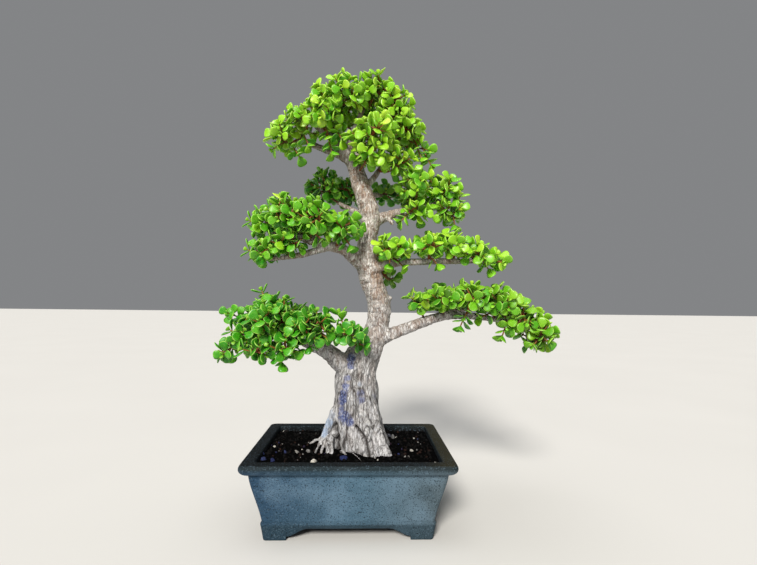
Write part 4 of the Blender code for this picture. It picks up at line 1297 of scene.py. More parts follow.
@dataclass
class SoilBed:
    """The potting mix and the loose grit on it. Sizes in millimetres."""

    edge: float = 92.4
    edge_sunk: float = 0.8
    side_levels: Pair = (60.0, 91.0)
    mound: float = 3.5
    mound_spread: float = 1.15
    pot_half: Pair = (135.0, 103.5)
    # Size and height of each kind of unevenness, and what sets their noises apart
    lumps: Pair = (11.0, 0.9)
    crumbs: Pair = (4.2, 1.1)
    fine_crumbs: Pair = (2.1, 0.5)
    layers: Row = (0.0, 5.0, 9.0)
    half: Pair = (116.6, 85.2)
    corner: float = 5.5
    corner_steps: int = 4
    side_step: float = 2.4
    rings: int = 52
    ring_crowding: float = 0.9
    bed_crease: float = 60
    grain_crease: float = 70
    # Grains: how many, the smallest, how much larger they get and how rarely, and how deep they lie
    grains: int = 1000
    grain_least: float = 2.0
    grain_spread: float = 3.4
    grain_rarity: float = 2.2
    grain_bed: float = 0.12
    grain_axes: tuple[Pair, ...] = ((0.65, 1.1), (0.6, 1.0), (0.45, 0.85))
    dent_depth: float = 0.45
    dent_turns: float = 1.3
    edge_clear: float = 2.0
    # The draw from which a grain is blue-grey, and from which it is pale; neither kind is large
    blue_from: float = 0.93
    pale_from: float = 0.965
    light_largest: float = 3.4
    dark_shades: Pair = (0.0, 0.6)
    blue_shades: Pair = (0.66, 0.76)
    pale_shades: Pair = (0.82, 1.0)
    # Grains that stand out: x, y, size and shade
    known: tuple[Row, ...] = (
        (-72, -34, 6.5, 0.9), (-57, -31, 7.5, 0.86), (-47, -30, 5.5, 0.88), (-46, -70, 8, 1.0),
        (-66, -10, 4.5, 0.66), (-119, -36, 7, 0.74), (-112, -58, 8, 0.74), (-100, -60, 7, 0.72),
        (-88, -33, 6, 0.74), (-8, -60, 12, 0.73), (50, 20, 6, 0.62), (55, 0, 7, 0.64), (62, 36, 9, 0.84),
        (-108, -4, 4, 0.98), (57, 44, 8, 0.8), (84, -26, 5, 0.95), (110, -70, 4, 1.0), (-30, -52, 9, 0.4),
    )

    def level(self, x: float, y: float) -> float:
        """Works out the soil's top.

        Args:
            x: Where, from the pot's middle.
            y: Where, towards the back.

        Returns:
            Its height there.
        """
        away = math.hypot(x / self.pot_half[0], y / self.pot_half[1])
        lumps, crumbs, fine = (
            height * noise.noise(Vector((x, y, layer)) / size)
            for layer, (size, height) in zip(self.layers, (self.lumps, self.crumbs, self.fine_crumbs))
        )
        crumbs = abs(crumbs) + fine
        return self.edge + self.mound * smooth(self.mound_spread - away) + lumps + crumbs

    def outline(self) -> list[Pair]:
        """Draws the soil's edge.

        Returns:
            The x and y of its points, evenly spread along the sides.
        """
        corners = round_corners(self.half, self.corner, self.corner_steps)
        points = []
        for corner, following in zip(corners, corners[1:] + corners[:1]):
            points += corner
            start, end = corner[-1], following[0]
            steps = round(math.dist(start, end) / self.side_step)
            points += [
                (mixed((start[0], end[0]), k / steps), mixed((start[1], end[1]), k / steps))
                for k in range(1, steps)
            ]
        return points

    def build_bed(self, layout: Layout) -> bpy.types.Object:
        """Makes the crumbly top of the soil with its sides down into the pot.

        Args:
            layout: Where the pot stands.

        Returns:
            The piece.
        """
        outline = self.outline()
        count = len(outline)
        points = [(x, y, level) for level in self.side_levels for x, y in outline]
        for ring in range(self.rings):
            share = 1 - (ring / self.rings) ** self.ring_crowding
            sunk = self.edge_sunk if ring == 0 else 0.0
            points += [(x * share, y * share, self.level(x * share, y * share) - sunk) for x, y in outline]
        faces = band_faces(self.rings + 2, count)
        faces += [range(len(points) - count, len(points)), reversed(range(count))]
        skin = Skin()
        skin.add(np.array(points) * MM, faces)
        mesh = skin.mesh("soil_bed", [PottingMix().make()], self.bed_crease)
        return add_piece("soil_bed", layout.settle(mesh), ["soil"])

    def drop(self, skin: Skin, rnd: Random, ball: Ball, grain: Row) -> None:
        """Beds one rough grain in the soil.

        Args:
            skin: The mesh in the making.
            rnd: Where its own shape is drawn from.
            ball: The pattern of all grains.
            grain: Its x, y, size and shade.
        """
        x, y, size, shade = grain
        axes = np.array([rnd.uniform(*span) for span in self.grain_axes]) * size / 2
        angle = rnd.uniform(0, math.tau)
        turn = Matrix.Rotation(angle, 3, Vector([rnd.gauss(0, 1) for _ in range(3)]).normalized())
        seed = Vector([rnd.uniform(0, 99) for _ in range(3)])
        dents = [1 + self.dent_depth * noise.noise(Vector(p) * self.dent_turns + seed) for p in ball.points]
        shape = (ball.points * np.array(dents)[:, None] * axes) @ np.array(turn).T
        shape += np.array([x, y, self.level(x, y) + size * self.grain_bed])
        skin.add(shape * MM, ball.faces, (shade, 0.0, 0.0))

    def build_grit(self, layout: Layout, solid: BVHTree) -> bpy.types.Object:
        """Scatters dark crumbs and a few pale, blue and rust grains.

        Args:
            layout: Where the pot stands.
            solid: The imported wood, which the grains stay off.

        Returns:
            The piece with all the grains.
        """
        ball, rnd, skin = Ball.make(), Random(SEED), Skin()
        for grain in self.known:
            self.drop(skin, rnd, ball, grain)
        placed = 0
        while placed < self.grains:
            x, y = (rnd.uniform(-1, 1) * (half - self.edge_clear) for half in self.half)
            size = self.grain_least + self.grain_spread * rnd.random() ** self.grain_rarity
            if solid.find_nearest(mm(x, y, self.level(x, y)))[3] < size * MM / 3:
                continue
            draw = rnd.random()
            shade = rnd.uniform(*self.dark_shades)
            if draw > self.blue_from:
                shade = rnd.uniform(*(self.pale_shades if draw > self.pale_from else self.blue_shades))
            size = size if draw < self.blue_from else min(size, self.light_largest)
            self.drop(skin, rnd, ball, (x, y, size, shade))
            placed += 1
        mesh = skin.mesh("soil_grit", [CrushedGrit().make()], self.grain_crease)
        return add_piece("soil_grit", layout.settle(mesh))


# Wood


@dataclass
class Wood:
    """Trunk, roots and branches as one skin with modelled bark. Sizes in millimetres."""

    voxel: float = 1.35
    foot: float = 86.0
    foot_slack: float = 2.0
    trunk_rings: int = 150
    trunk_sides: int = 96
    root_line: float = 96.0
    root_fall: float = 1.8
    # How far above the soil the trunk's rings stay level, and over what height they then tip
    tip_from: float = 20.0
    tip_over: float = 60.0
    knuckle: float = 0.07
    knuckle_turns: float = 1.7
    knuckle_height: float = 34.0
    branch_sides: int = 20
    branch_step: float = 5.0
    root_step: float = 3.0
    fewest_rings: int = 5
    fewest_bones: int = 6
    # How much a limb swells, and how far apart
    swell: float = 0.08
    swell_size: float = 23.0
    # A limb's round tip, in its last radii: how far out, then how wide
    tip: tuple[Pair, ...] = ((0.5, 0.85), (0.85, 0.5))
    soften: int = 4
    bone_step: float = 4.0
    chunk: int = 4000

    def root_reach(self, bearing: float, level: float) -> float:
        """Works out how far the root swellings push the trunk out.

        Args:
            bearing: Which way from its middle, in degrees.
            level: At what height.

        Returns:
            The reach in millimetres.
        """
        reach = 0.0
        for middle, half_width, length, start in ROOTS:
            off = (bearing - middle + 180) % 360 - 180
            rise = max(0.0, 1 - max(0.0, level - self.root_line) / start)
            reach += length * math.exp(-((off / half_width) ** 2)) * rise ** self.root_fall
        return reach

    def trunk_ring(self, row: Row) -> list[Vector]:
        """Draws one level outline of the trunk.

        Args:
            row: Its middle and its radii.

        Returns:
            Its points in metres.
        """
        x, y, z, across, deep = row
        ring = []
        for k in range(self.trunk_sides):
            bearing = 360 * k / self.trunk_sides
            cos, sin = math.cos(math.radians(bearing)), math.sin(math.radians(bearing))
            place = Vector((cos, sin, z / self.knuckle_height))
            swell = 1 + self.knuckle * noise.noise(place * self.knuckle_turns)
            out = self.root_reach(bearing, z)
            ring.append(mm(x + (across * swell + out) * cos, y + (deep * swell + out) * sin, z))
        return ring

    def trunk_shell(self, bm: bmesh.types.BMesh) -> None:
        """Adds the trunk with its flare, each ring square to the trunk's lean.

        Args:
            bm: Where the trunk is added.
        """
        rows = spline(TRUNK, self.trunk_rings)
        first = self.trunk_ring(rows[0])
        rings = [[Vector((p.x, p.y, self.foot * MM)) for p in first]]
        for i, row in enumerate(rows):
            before, after = rows[max(0, i - 1)], rows[min(len(rows) - 1, i + 1)]
            along = (mm(*after[:3]) - mm(*before[:3])).normalized()
            tipped = smooth((row[2] - self.root_line - self.tip_from) / self.tip_over)
            turn = UP.rotation_difference(UP.lerp(along, tipped).normalized())
            middle = mm(*row[:3])
            rings.append([middle + turn @ (point - middle) for point in self.trunk_ring(row)])
        loft(bm, rings)

    def limb_shell(self, bm: bmesh.types.BMesh, rows: Sequence[Row], step: float) -> None:
        """Adds a branch or a free root as a tapering tube with a round tip.

        Args:
            bm: Where it is added.
            rows: Its x, y, z and radius along it.
            step: How far apart its rings lie.
        """
        path = spline(rows, max(self.fewest_rings, round(length_of(rows) / step)))
        points = [mm(*row[:3]) for row in path]
        swells = [1 + self.swell * noise.noise(Vector(row[:3]) / self.swell_size) for row in path]
        radii = [row[3] * MM * swell for row, swell in zip(path, swells)]
        way = (points[-1] - points[-2]).normalized()
        for out, share in self.tip:
            points.append(mm(*path[-1][:3]) + way * path[-1][3] * MM * out)
            radii.append(path[-1][3] * MM * share)
        loft(bm, tube_rings(points, radii, self.branch_sides))

    def shell(self) -> bpy.types.Mesh:
        """Melts trunk, branches, stubs and free roots into one smooth skin.

        Returns:
            The skin.
        """
        bm = bmesh.new()
        self.trunk_shell(bm)
        for limbs, step in ((BRANCHES.values(), self.branch_step), (FREE_ROOTS + STUBS, self.root_step)):
            for rows in limbs:
                self.limb_shell(bm, rows, step)
        body = object_from(bm, "wood_shell")
        melt = body.modifiers.new("melt", "REMESH")
        melt.mode, melt.voxel_size = "VOXEL", self.voxel * MM
        soften = body.modifiers.new("soften", "SMOOTH")
        soften.factor, soften.iterations = 0.5, self.soften
        apply_all(body)
        mesh = body.data
        bpy.data.objects.remove(body)
        return mesh

    def bones(self) -> np.ndarray:
        """Samples every limb.

        Returns:
            For each sample its place, direction, radius, distance along its limb, and 1 on the trunk.
        """
        samples = []
        for name, rows in {"trunk": TRUNK, **BRANCHES}.items():
            length = length_of(rows)
            path = spline(rows, max(self.fewest_bones, round(length / self.bone_step)))
            for i, row in enumerate(path):
                ahead, behind = path[min(len(path) - 1, i + 1)], path[max(0, i - 1)]
                along = Vector([a - b for a, b in zip(ahead[:3], behind[:3])]).normalized()
                run = length * i / (len(path) - 1)
                samples.append([*row[:3], *along, row[3], run, 1.0 if name == "trunk" else 0.0])
        return np.array(samples)

    def nearest_bones(self, points: np.ndarray, bones: np.ndarray) -> np.ndarray:
        """Finds the limb that each point lies on.

        Args:
            points: The points.
            bones: The samples of the limbs.

        Returns:
            For each point, the sample whose skin it lies nearest to.
        """
        found = []
        for chunk in np.array_split(points, 1 + len(points) // self.chunk):
            gap = np.linalg.norm(chunk[:, None, :] - bones[None, :, :3], axis=2) - bones[None, :, 6]
            found.append(gap.argmin(1))
        return bones[np.concatenate(found)]

    def build(self, layout: Layout) -> bpy.types.Object:
        """Makes the wood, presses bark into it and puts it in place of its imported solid.

        Args:
            layout: Where the pot stands.

        Returns:
            The piece.
        """
        mesh = self.shell()
        read = {"co": np.empty(len(mesh.vertices) * 3), "normal": np.empty(len(mesh.vertices) * 3)}
        for kind, values in read.items():
            mesh.vertices.foreach_get(kind, values)
        co, normals = read["co"].reshape(-1, 3) / MM, read["normal"].reshape(-1, 3)
        relief, tint = Bark().relief(co, self.nearest_bones(co, self.bones()))
        co += normals * relief[:, None]
        co[:, 2] = np.maximum(co[:, 2], self.foot - self.foot_slack)
        mesh.vertices.foreach_set("co", (co * MM).ravel())
        write_tint(mesh, tint)
        mesh.materials.clear()
        mesh.materials.append(JadeBark().make())
        mesh.shade_smooth()
        mesh.update()
        return add_piece("trunk_and_branches", layout.settle(mesh), ["wood"])


# Roots that lie free of the flare: x, y, z and radius along each
FREE_ROOTS: list[tuple[Row, ...]] = [
    ((-22, -14, 150, 6), (-27, -15, 136, 6.5), (-33, -14, 122, 6.2), (-38, -16, 112, 4.5)),
    ((-37, -17, 114, 3.6), (-43, -19, 109, 2.6), (-49, -19, 107, 2.2), (-56, -20, 103, 1.7)),
    ((-38, -18, 112, 3.4), (-43, -25, 104, 2.6), (-46, -31, 98, 2.1), (-48, -36, 92, 1.8)),
    ((-35, -20, 115, 3.6), (-37, -28, 105, 2.8), (-39, -35, 97, 2.3), (-40, -39, 91, 2)),
    ((-31, -22, 117, 3.8), (-31, -30, 106, 3.0), (-31, -36, 97, 2.6), (-31, -39, 91, 2.2)),
    ((-26, -22, 117, 4), (-25, -31, 106, 3.4), (-24, -37, 96, 2.8), (-24, -40, 91, 2.4)),
    ((-15, -38, 97, 2.4), (-11, -42, 99, 2.6), (-6, -44, 96, 2.2), (-2, -46, 92, 1.6)),
    ((-1, -36, 97, 1.6), (5, -48, 97.5, 1.4), (11, -60, 96.5, 1.2), (16, -72, 94.5, 0.9)),
]

# Cut ends and dead stubs on the branches: x, y, z and radius along each
STUBS: list[tuple[Row, ...]] = [
    ((52, -4, 256, 4), (56, -10, 251, 3.2), (58, -12, 248, 2.4)),
    ((50, 2, 424, 4), (54, -4, 418, 3), (56, -6, 414, 2.2)),
    ((44, 4, 300, 5), (52, 2, 304, 3.6), (55, 1, 306, 2.4)),
    ((2, -4, 366, 4), (-2, -12, 362, 3), (-3, -15, 360, 2)),
    ((-24, -10, 222, 5), (-28, -18, 216, 3.6), (-30, -21, 213, 2.4)),
]

# Deep cracks at the foot of the trunk, which open towards the soil: x, y, z and half the width along each
CRACKS: list[tuple[Row, ...]] = [
    ((7, -38, 131, 1.4), (12.6, -40, 123, 2), (18, -43.5, 117, 2.4), (21, -47, 109, 3.2), (26, -52, 98, 5)),
    ((-21, -21, 131, 1.4), (-23, -22, 122, 2), (-19, -26, 114, 2), (-19, -28, 105, 2.4), (-18, -32, 96, 3)),
]

# Marks on the bark: x, y, z, reach and shade, from blue-violet lichen at 1 to a bleached place at -1
SCARS: tuple[Row, ...] = (
    (-2, -22, 221, 8, 1.0), (-1, -22, 211, 7.5, 0.9), (-7, -27, 194, 7, 0.6), (-8.5, -28, 183, 7, 0.8),
    (-11, -28.5, 172, 8.5, 1.0), (-12, -29.5, 163, 9, 1.0), (-13, -31, 151, 8, 0.8), (-9, -33, 142, 12, 1.0),
    (-2, -35, 136, 8, 0.9), (13, -31.6, 174, 7, 0.55), (13.4, -32.4, 165, 7, 0.6), (31, -20, 168, 6, 0.4),
    (-28, -20, 142, 13, -0.8), (-33, -20, 131, 14, -1.0), (-38, -20, 119, 13, -1.0), (11, -29, 186, 6, -0.8),
    (2, -38, 123, 9, -0.6), (15, -45, 107, 10, -0.6), (37, -40, 113, 9, -0.6), (47, -46, 100, 8, -0.5),
)


@dataclass(frozen=True)
class Bark:
    """Relief of the bark. Sizes in millimetres, depths outward."""

    lump: float = 26.0
    lump_depth: float = 1.6
    furrow: Pair = (7.0, 38.0)
    furrow_depth: float = 1.15
    fibre: Pair = (3.0, 11.0)
    fibre_depth: float = 0.8
    wrinkle: Pair = (14.0, 3.8)
    wrinkle_depth: float = 1.1
    knob: float = 7.5
    knob_depth: float = 0.75
    crack_depth: float = 7.0
    crack_samples: int = 24
    crack_flat: float = 1.6
    # A crack's distance counts for less front to back, so that it shows all the way along
    crack_reach: float = 0.3
    # A mark's edge as a share of its reach, how it fades there, and the size and strength of its frayed edge
    scar_edge: float = 1.15
    scar_fade: float = 0.8
    scar_frays: tuple[Pair, ...] = ((5.0, 0.4), (2.0, 0.2))
    scar_widest: float = 1.4
    scar_dent: float = 0.5
    # Where the trunk's furrows give way to rings, over what height, and how furrowed thick limbs are
    old_top: float = 250.0
    old_fade: float = 70.0
    limb_age: float = 0.25
    # From a radius with nothing to one with all: furrows on limbs, full depth of the relief, and youth
    aged_radii: Pair = (7.0, 12.0)
    thick_radii: Pair = (2.5, 11.5)
    young_radii: Pair = (5.2, 2.0)
    # The share of each kind of mark that the thinnest limbs keep
    thin_lump: float = 0.3
    thin_wrinkle: float = 0.4
    thin_knob: float = 0.35
    thin_fold: float = 0.55
    # How high the bark stands between furrows, and how steeply it falls into them
    furrow_rise: float = 0.35
    furrow_fall: float = 1.6
    knob_ease: float = 1.15
    # Folds painted dark as shade: how narrow they are, where those between rings start, and how dark each
    # kind is
    furrow_narrow: float = 5.5
    ring_narrow: float = 1.8
    ring_start: float = 0.15
    furrow_dark: float = 0.9
    ring_dark: float = 0.55
    scar_clear: float = 0.5
    # What sets the furrows, fibres and rings apart from one another
    offsets: Row = (3.0, 11.0, 23.0)

    def relief(self, co: np.ndarray, bones: np.ndarray) -> tuple[np.ndarray, np.ndarray]:
        """Works out the bark's height and colour marks at each point.

        Args:
            co: The points.
            bones: For each point, the limb sample that it lies nearest to.

        Returns:
            The height at each point, and its tint: scar, youth, and the painted shade of folds and cracks.
        """
        heights = np.empty(len(co))
        tint = np.zeros((len(co), 3))
        crack = self.crack_share(co)
        for i, (point, bone) in enumerate(zip(co.tolist(), bones.tolist())):
            radius, run, on_trunk = bone[6:]
            place, along = Vector(point), Vector(bone[3:6])
            reach = place - Vector(bone[:3])
            rise = reach.dot(along)
            around, run = reach - along * rise, run + rise
            # The trunk's old foot is furrowed lengthways and everything above it is ringed
            if on_trunk:
                old = smooth((self.old_top - place.z) / self.old_fade)
            else:
                old = self.limb_age * smooth(share_of(self.aged_radii, radius))
            thick = smooth(share_of(self.thick_radii, radius))
            furrow, fibre, ring = (
                self.lengthways(around, run, size, offset)
                for size, offset in zip((self.furrow, self.fibre, self.wrinkle), self.offsets)
            )
            knob = noise.noise(place / self.knob)
            ridge = self.furrow_rise - abs(furrow) * self.furrow_fall
            height = self.lump_depth * noise.noise(place / self.lump) * mixed((self.thin_lump, 1.0), thick)
            height += old * (self.furrow_depth * ridge + self.fibre_depth * fibre)
            height += (1 - old) * mixed((self.thin_wrinkle, 1.0), thick) * self.wrinkle_depth * ring
            height += mixed((self.thin_knob, 1.0), thick) * self.knob_depth * knob * (self.knob_ease - old)
            # Furrows and the hollows between rings are painted dark as shade
            fold = old * smooth(1 - abs(furrow) * self.furrow_narrow) * self.furrow_dark
            fold += (1 - old) * smooth(-ring * self.ring_narrow - self.ring_start) * self.ring_dark
            heights[i] = height
            tint[i, 1] = 0.0 if on_trunk else smooth(share_of(self.young_radii, radius))
            tint[i, 2] = fold * mixed((self.thin_fold, 1.0), thick)
        near = self.scar_share(co)
        tint[:, 0] = near
        heights -= crack * self.crack_depth
        heights -= np.maximum(near, 0) * self.scar_dent
        # Cracks are painted dark as shade too
        tint[:, 2] = np.maximum(tint[:, 2] * (1 - self.scar_clear * np.abs(near)), crack)
        return heights, tint

    def lengthways(self, around: Vector, run: float, size: Pair, offset: float) -> float:
        """Draws noise stretched along a limb.

        Args:
            around: The way out from the limb's middle line.
            run: The distance along the limb.
            size: The size of its marks across the limb and along it.
            offset: What sets it apart from the limb's other noises.

        Returns:
            Its value, from -1 to 1.
        """
        across, along = size
        place = Vector((around.x / across, around.y / across, around.z / across + run / along))
        return noise.noise(place + UP * offset)

    def crack_share(self, co: np.ndarray) -> np.ndarray:
        """How deep each point lies in a crack, from 0 to 1.

        Args:
            co: The points.

        Returns:
            A number for each point.
        """
        share = np.zeros(len(co))
        for rows in CRACKS:
            path = np.array(spline(rows, self.crack_samples))
            away = (co[:, None, :] - path[None, :, :3]) * (1.0, self.crack_reach, 1.0)
            gap = (np.linalg.norm(away, axis=2) / path[None, :, 3]).min(1)
            share = np.maximum(share, np.minimum(1.0, self.crack_flat * np.exp(-(gap**2))))
        return share

    def scar_share(self, co: np.ndarray) -> np.ndarray:
        """How much of a mark lies at each point, from 1 for lichen to -1 for a bleached place.

        Args:
            co: The points.

        Returns:
            A number for each point.
        """
        share = np.zeros(len(co))
        for x, y, z, reach, shade in SCARS:
            gap = np.linalg.norm(co - np.array([x, y, z]), axis=1) / reach
            for i in np.nonzero(gap < self.scar_widest)[0]:
                frays = [strength * noise.noise(Vector(co[i]) / size) for size, strength in self.scar_frays]
                here = shade * smooth((self.scar_edge - sum(frays, gap[i])) / self.scar_fade)
                share[i] = here if abs(here) > abs(share[i]) else share[i]
        return share


# Foliage


@dataclass(frozen=True)
class Growth:
    """How sprays grow, in millimetres and degrees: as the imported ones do, then the finer growth."""

    depth_stretch: float = 1.15
    wood_gap: float = 0.35
    spray_gap: float = 0.35
    twig_tries: int = 60
    twig_root: float = 3
    twig_radii: Pair = (1.9, 1.4)
    twig_steps: int = 3
    twig_stub: float = 1.8
    twig_bend: Pair = (0.35, 0.4)
    hub_drop: float = 0.35
    hub_stray: float = 1 / 90
    base_search: float = 2.5
    match: float = 0.003
    shoot_tries: int = 12
    shoot_radii: Pair = (1.25, 1.1)
    shoot_turn: float = 37
    shoot_steps: int = 8
    shoot_shortest: float = 13
    shoot_slack: float = 0.01
    first_rise: float = 0.25
    shoot_ease: Pair = (0.17, 0.33)
    tip_straight: float = 0.7
    tip_rise: float = 0.35
    forks: Row = (0.7, 0.5, 0.3)
    fork_step: float = 0.12
    ray_tries: int = 24
    lowest_ray: float = -0.55
    ray_rise: float = 0.1
    well_inside: float = 0.85
    big_spray: float = 36
    pair_step: float = 8
    pair_height: float = 2.2
    leaf_length: Pair = (13.5, 17)
    leaf_lean: Pair = (50, 66)
    nudges: tuple[Pair, ...] = ((0, 0), (22, 0), (-22, 0), (0, -16), (0, 14), (40, -10), (-40, -10))
    foot_clear: float = 0.3
    # The finer growth: how far apart its tips stand, where it forks, how far its leaves may dip into one
    # another, and its pairs of leaves with their distance back from the tip, side, lean, size and youth
    tip_apart: float = 12.0
    tip_tries: int = 300
    tip_most: int = 28
    tip_depth: Pair = (0.5, 1.0)
    loose_backs: Row = (0, -10, 10, -20)
    loose_near: int = 3
    fork_reach: float = 15
    twig_forks: Row = (0.9, 0.75, 0.6, 0.45, 0.3)
    shoot_forks: Row = (0.2, 0.35, 0.5, 0.65)
    fine_gap: float = -0.45
    off_wood: float = 6
    look_ahead: float = 2
    fork_clear: float = 4
    fine_pairs: tuple[Row, ...] = (
        (0.0, 0, 50, 1.0, 0.15), (8.0, 1, 66, 1.0, 0.0), (16.0, 0, 72, 0.95, 0.0), (24.0, 1, 76, 0.9, 0.0),
        (-2.2, 1, 22, 0.42, 0.6),
    )
    lean_spread: float = 5
    main_youth: float = 0.1
    # The stem as it shows: how much slimmer, and its bud's places beyond the tip and widths there
    stem_slim: float = 0.92
    bud: tuple[Pair, ...] = ((1.6, 0.8), (2.6, 0.3))
    stem_sides: int = 6
    twig_sides: int = 7
    # Greens: yellower with height in a leaf mass, how much leaves differ, and how painted shade darkens them
    # deep inside a leaf mass and behind the trunk
    height_yellow: float = 0.12
    green_spread: float = 0.12
    shade_depth: float = 0.7
    shade_behind: float = 0.55
    behind_from: float = 15
    behind_over: float = 60


RULES = Growth()


@dataclass(frozen=True)
class LeafShape:
    """A dwarf jade leaf, thick and broadest past its middle, in shares of its length; its thickness in mm."""

    width: float = 0.88
    widest: float = 0.6
    end_share: float = 0.5
    thick: float = 2.5
    cup: float = 0.10
    droop: float = 0.10
    # From what length a leaf is fully thick, and how far single leaves differ from the pattern
    full_length: float = 12
    breadths: Pair = (0.94, 1.06)
    cups: Pair = (0.2, 1.6)
    # The pale rim, partly the leaf's own paler margin and partly painted glow: its strength along the sides,
    # and from where and over how far it closes at the end
    rim_side: float = 0.9
    rim_from: float = 0.86
    rim_over: float = 0.13
    droops: Pair = (-0.6, 2.0)
    # Distance along the leaf, then the share of its full width and thickness there
    stations: tuple[Row, ...] = (
        (0.0, 0.14, 0.5), (0.12, 0.24, 0.7), (0.32, 0.64, 0.95), (0.54, 0.94, 1.0), (0.74, 1.0, 0.92),
        (0.89, 0.82, 0.74), (0.975, 0.46, 0.42),
    )
    # One slice across: out to the side and up, each as a share of its half
    slice_points: tuple[Pair, ...] = (
        (-1.0, 0.1), (-0.6, 0.72), (0.0, 0.8), (0.6, 0.72), (1.0, 0.1), (0.6, -0.85), (0.0, -1.1),
        (-0.6, -0.85),
    )

    def template(self) -> tuple[np.ndarray, list[list[int]], np.ndarray]:
        """Makes the leaf's pattern.

        Returns:
            Points (across, along, up) as shares, faces, and how near each point lies to the leaf's rim.
        """
        points, rims = [], []
        for along, wide, deep in self.stations:
            for side, up in self.slice_points:
                points.append((side * wide * self.width / 2, along, up * deep / 2))
                end = smooth((along - self.rim_from) / self.rim_over)
                rims.append(max(abs(side) ** 2 * self.rim_side, end))
        points.append((0.0, 1.0, 0.0))
        rims.append(1.0)
        count = len(self.slice_points)
        faces = [list(range(count))] + [face[::-1] for face in band_faces(len(self.stations), count)]
        last = (len(self.stations) - 1) * count
        faces += [[last + (k + 1) % count, last + k, len(points) - 1] for k in range(count)]
        return np.array(points), faces, np.array(rims)


LEAF = LeafShape()
LEAF_PATTERN = LEAF.template()


@dataclass
class Leaf:
    """One leaf in place, from the four points that it stands on: two low, then two high."""

    feet: list[Vector]
    length: float
    lean: float
    turn: float = 0.0
    tilt: float = 0.0

    def __post_init__(self) -> None:
        """Works out the ways along, across and up from the leaf's face."""
        low_a, low_b, high_b, high_a = self.feet
        self.foot = sum(self.feet, Vector()) / 4
        stem = (high_b + high_a - low_a - low_b).normalized()
        swing = Matrix.Rotation(math.radians(self.turn), 3, stem)
        out = swing @ stem.cross(low_a - low_b).normalized()
        slope = math.radians(self.lean + self.tilt)
        self.reach = stem * math.cos(slope) + out * math.sin(slope)
        self.face = stem * math.sin(slope) - out * math.cos(slope)
        self.across = swing @ (low_b - low_a).normalized()

    def corners(self) -> list[Vector]:
        """Finds the six points that stand for the leaf.

        Returns:
            Its widest points, its crown and keel between them, and the two at its end.
        """
        half = self.across * self.length * LEAF.width / 2
        widest, end = self.foot + self.reach * self.length * LEAF.widest, self.foot + self.reach * self.length
        thick = self.face * LEAF.thick / 2 * MM
        return [
            widest - half, widest + half, widest + thick, widest - thick,
            end - half * LEAF.end_share, end + half * LEAF.end_share,
        ]

    def coarse(self, clear: float = 0.0) -> bmesh.types.BMesh:
        """Makes the leaf of a few faces, closed at its foot.

        Args:
            clear: The share of the way to its middle that is left off at its foot.

        Returns:
            The shape, to be freed after use.
        """
        corners = self.corners()
        middle = sum(corners, Vector()) / len(corners)
        bm = bmesh.new()
        low_a, low_b, high_b, high_a = [bm.verts.new(point.lerp(middle, clear)) for point in self.feet]
        left, right, crown, keel, end_left, end_right = [bm.verts.new(point) for point in corners]
        for face in (
            (low_a, low_b, high_b, high_a), (low_a, low_b, keel), (low_b, high_b, right),
            (high_b, high_a, crown), (high_a, low_a, left), (low_a, keel, left), (low_b, right, keel),
            (high_b, crown, right), (high_a, left, crown),
        ):
            bm.faces.new(face)
        for centre in (crown, keel):
            bm.faces.new((left, centre, end_left))
            bm.faces.new((centre, end_right, end_left))
            bm.faces.new((centre, right, end_right))
        bmesh.ops.recalc_face_normals(bm, faces=bm.faces)
        return bm

    def put(self, skin: Skin, rnd: Random, green: float, young: float) -> None:
        """Adds the leaf to a mesh, each with its own breadth, cup and droop.

        Args:
            skin: The mesh in the making.
            rnd: Where its own shape is drawn from.
            green: How yellow it is.
            young: How young it is, less its painted shade.
        """
        pattern, faces, rims = LEAF_PATTERN
        x, y, z = pattern.T
        side = x * rnd.uniform(*LEAF.breadths) * self.length
        cup, droop = LEAF.cup * rnd.uniform(*LEAF.cups), LEAF.droop * rnd.uniform(*LEAF.droops)
        up = z * LEAF.thick * MM * min(1.0, self.length / (LEAF.full_length * MM))
        up = up + cup * self.length * (x * 2 / LEAF.width) ** 2 * y - droop * self.length * y ** 2
        points = np.array(self.foot) + np.outer(side, self.across)
        points += np.outer(y * self.length, self.reach) + np.outer(up, self.face)
        skin.add(points, faces, np.column_stack([np.full(len(x), green), np.full(len(x), young), rims]))


def tube_mesh(rings: Sequence[Sequence[Vector]]) -> bmesh.types.BMesh:
    """Makes a stem of its rings, to be freed after use.

    Args:
        rings: The rings, from foot to tip.

    Returns:
        The stem.
    """
    bm = bmesh.new()
    loft(bm, rings)
    bmesh.ops.recalc_face_normals(bm, faces=bm.faces)
    return bm


def add_tube(skin: Skin, points: Sequence[Vector], radii: Sequence[float], sides: int) -> None:
    """Adds a stem to a mesh as a tube, greener towards its end.

    Args:
        skin: The mesh in the making.
        points: The stem's route.
        radii: Its radius at each point.
        sides: How many sides it has.
    """
    rings = tube_rings(points, radii, sides)
    flat = np.array([co for ring in rings for co in ring])
    ends = [reversed(range(sides)), range(len(flat) - sides, len(flat))]
    share = np.repeat(np.linspace(0, 1, len(rings)) ** 3, sides)
    tint = np.column_stack([np.zeros(len(flat)), share, np.zeros(len(flat))])
    skin.add(flat, ends + band_faces(len(rings), sides), tint, 1)


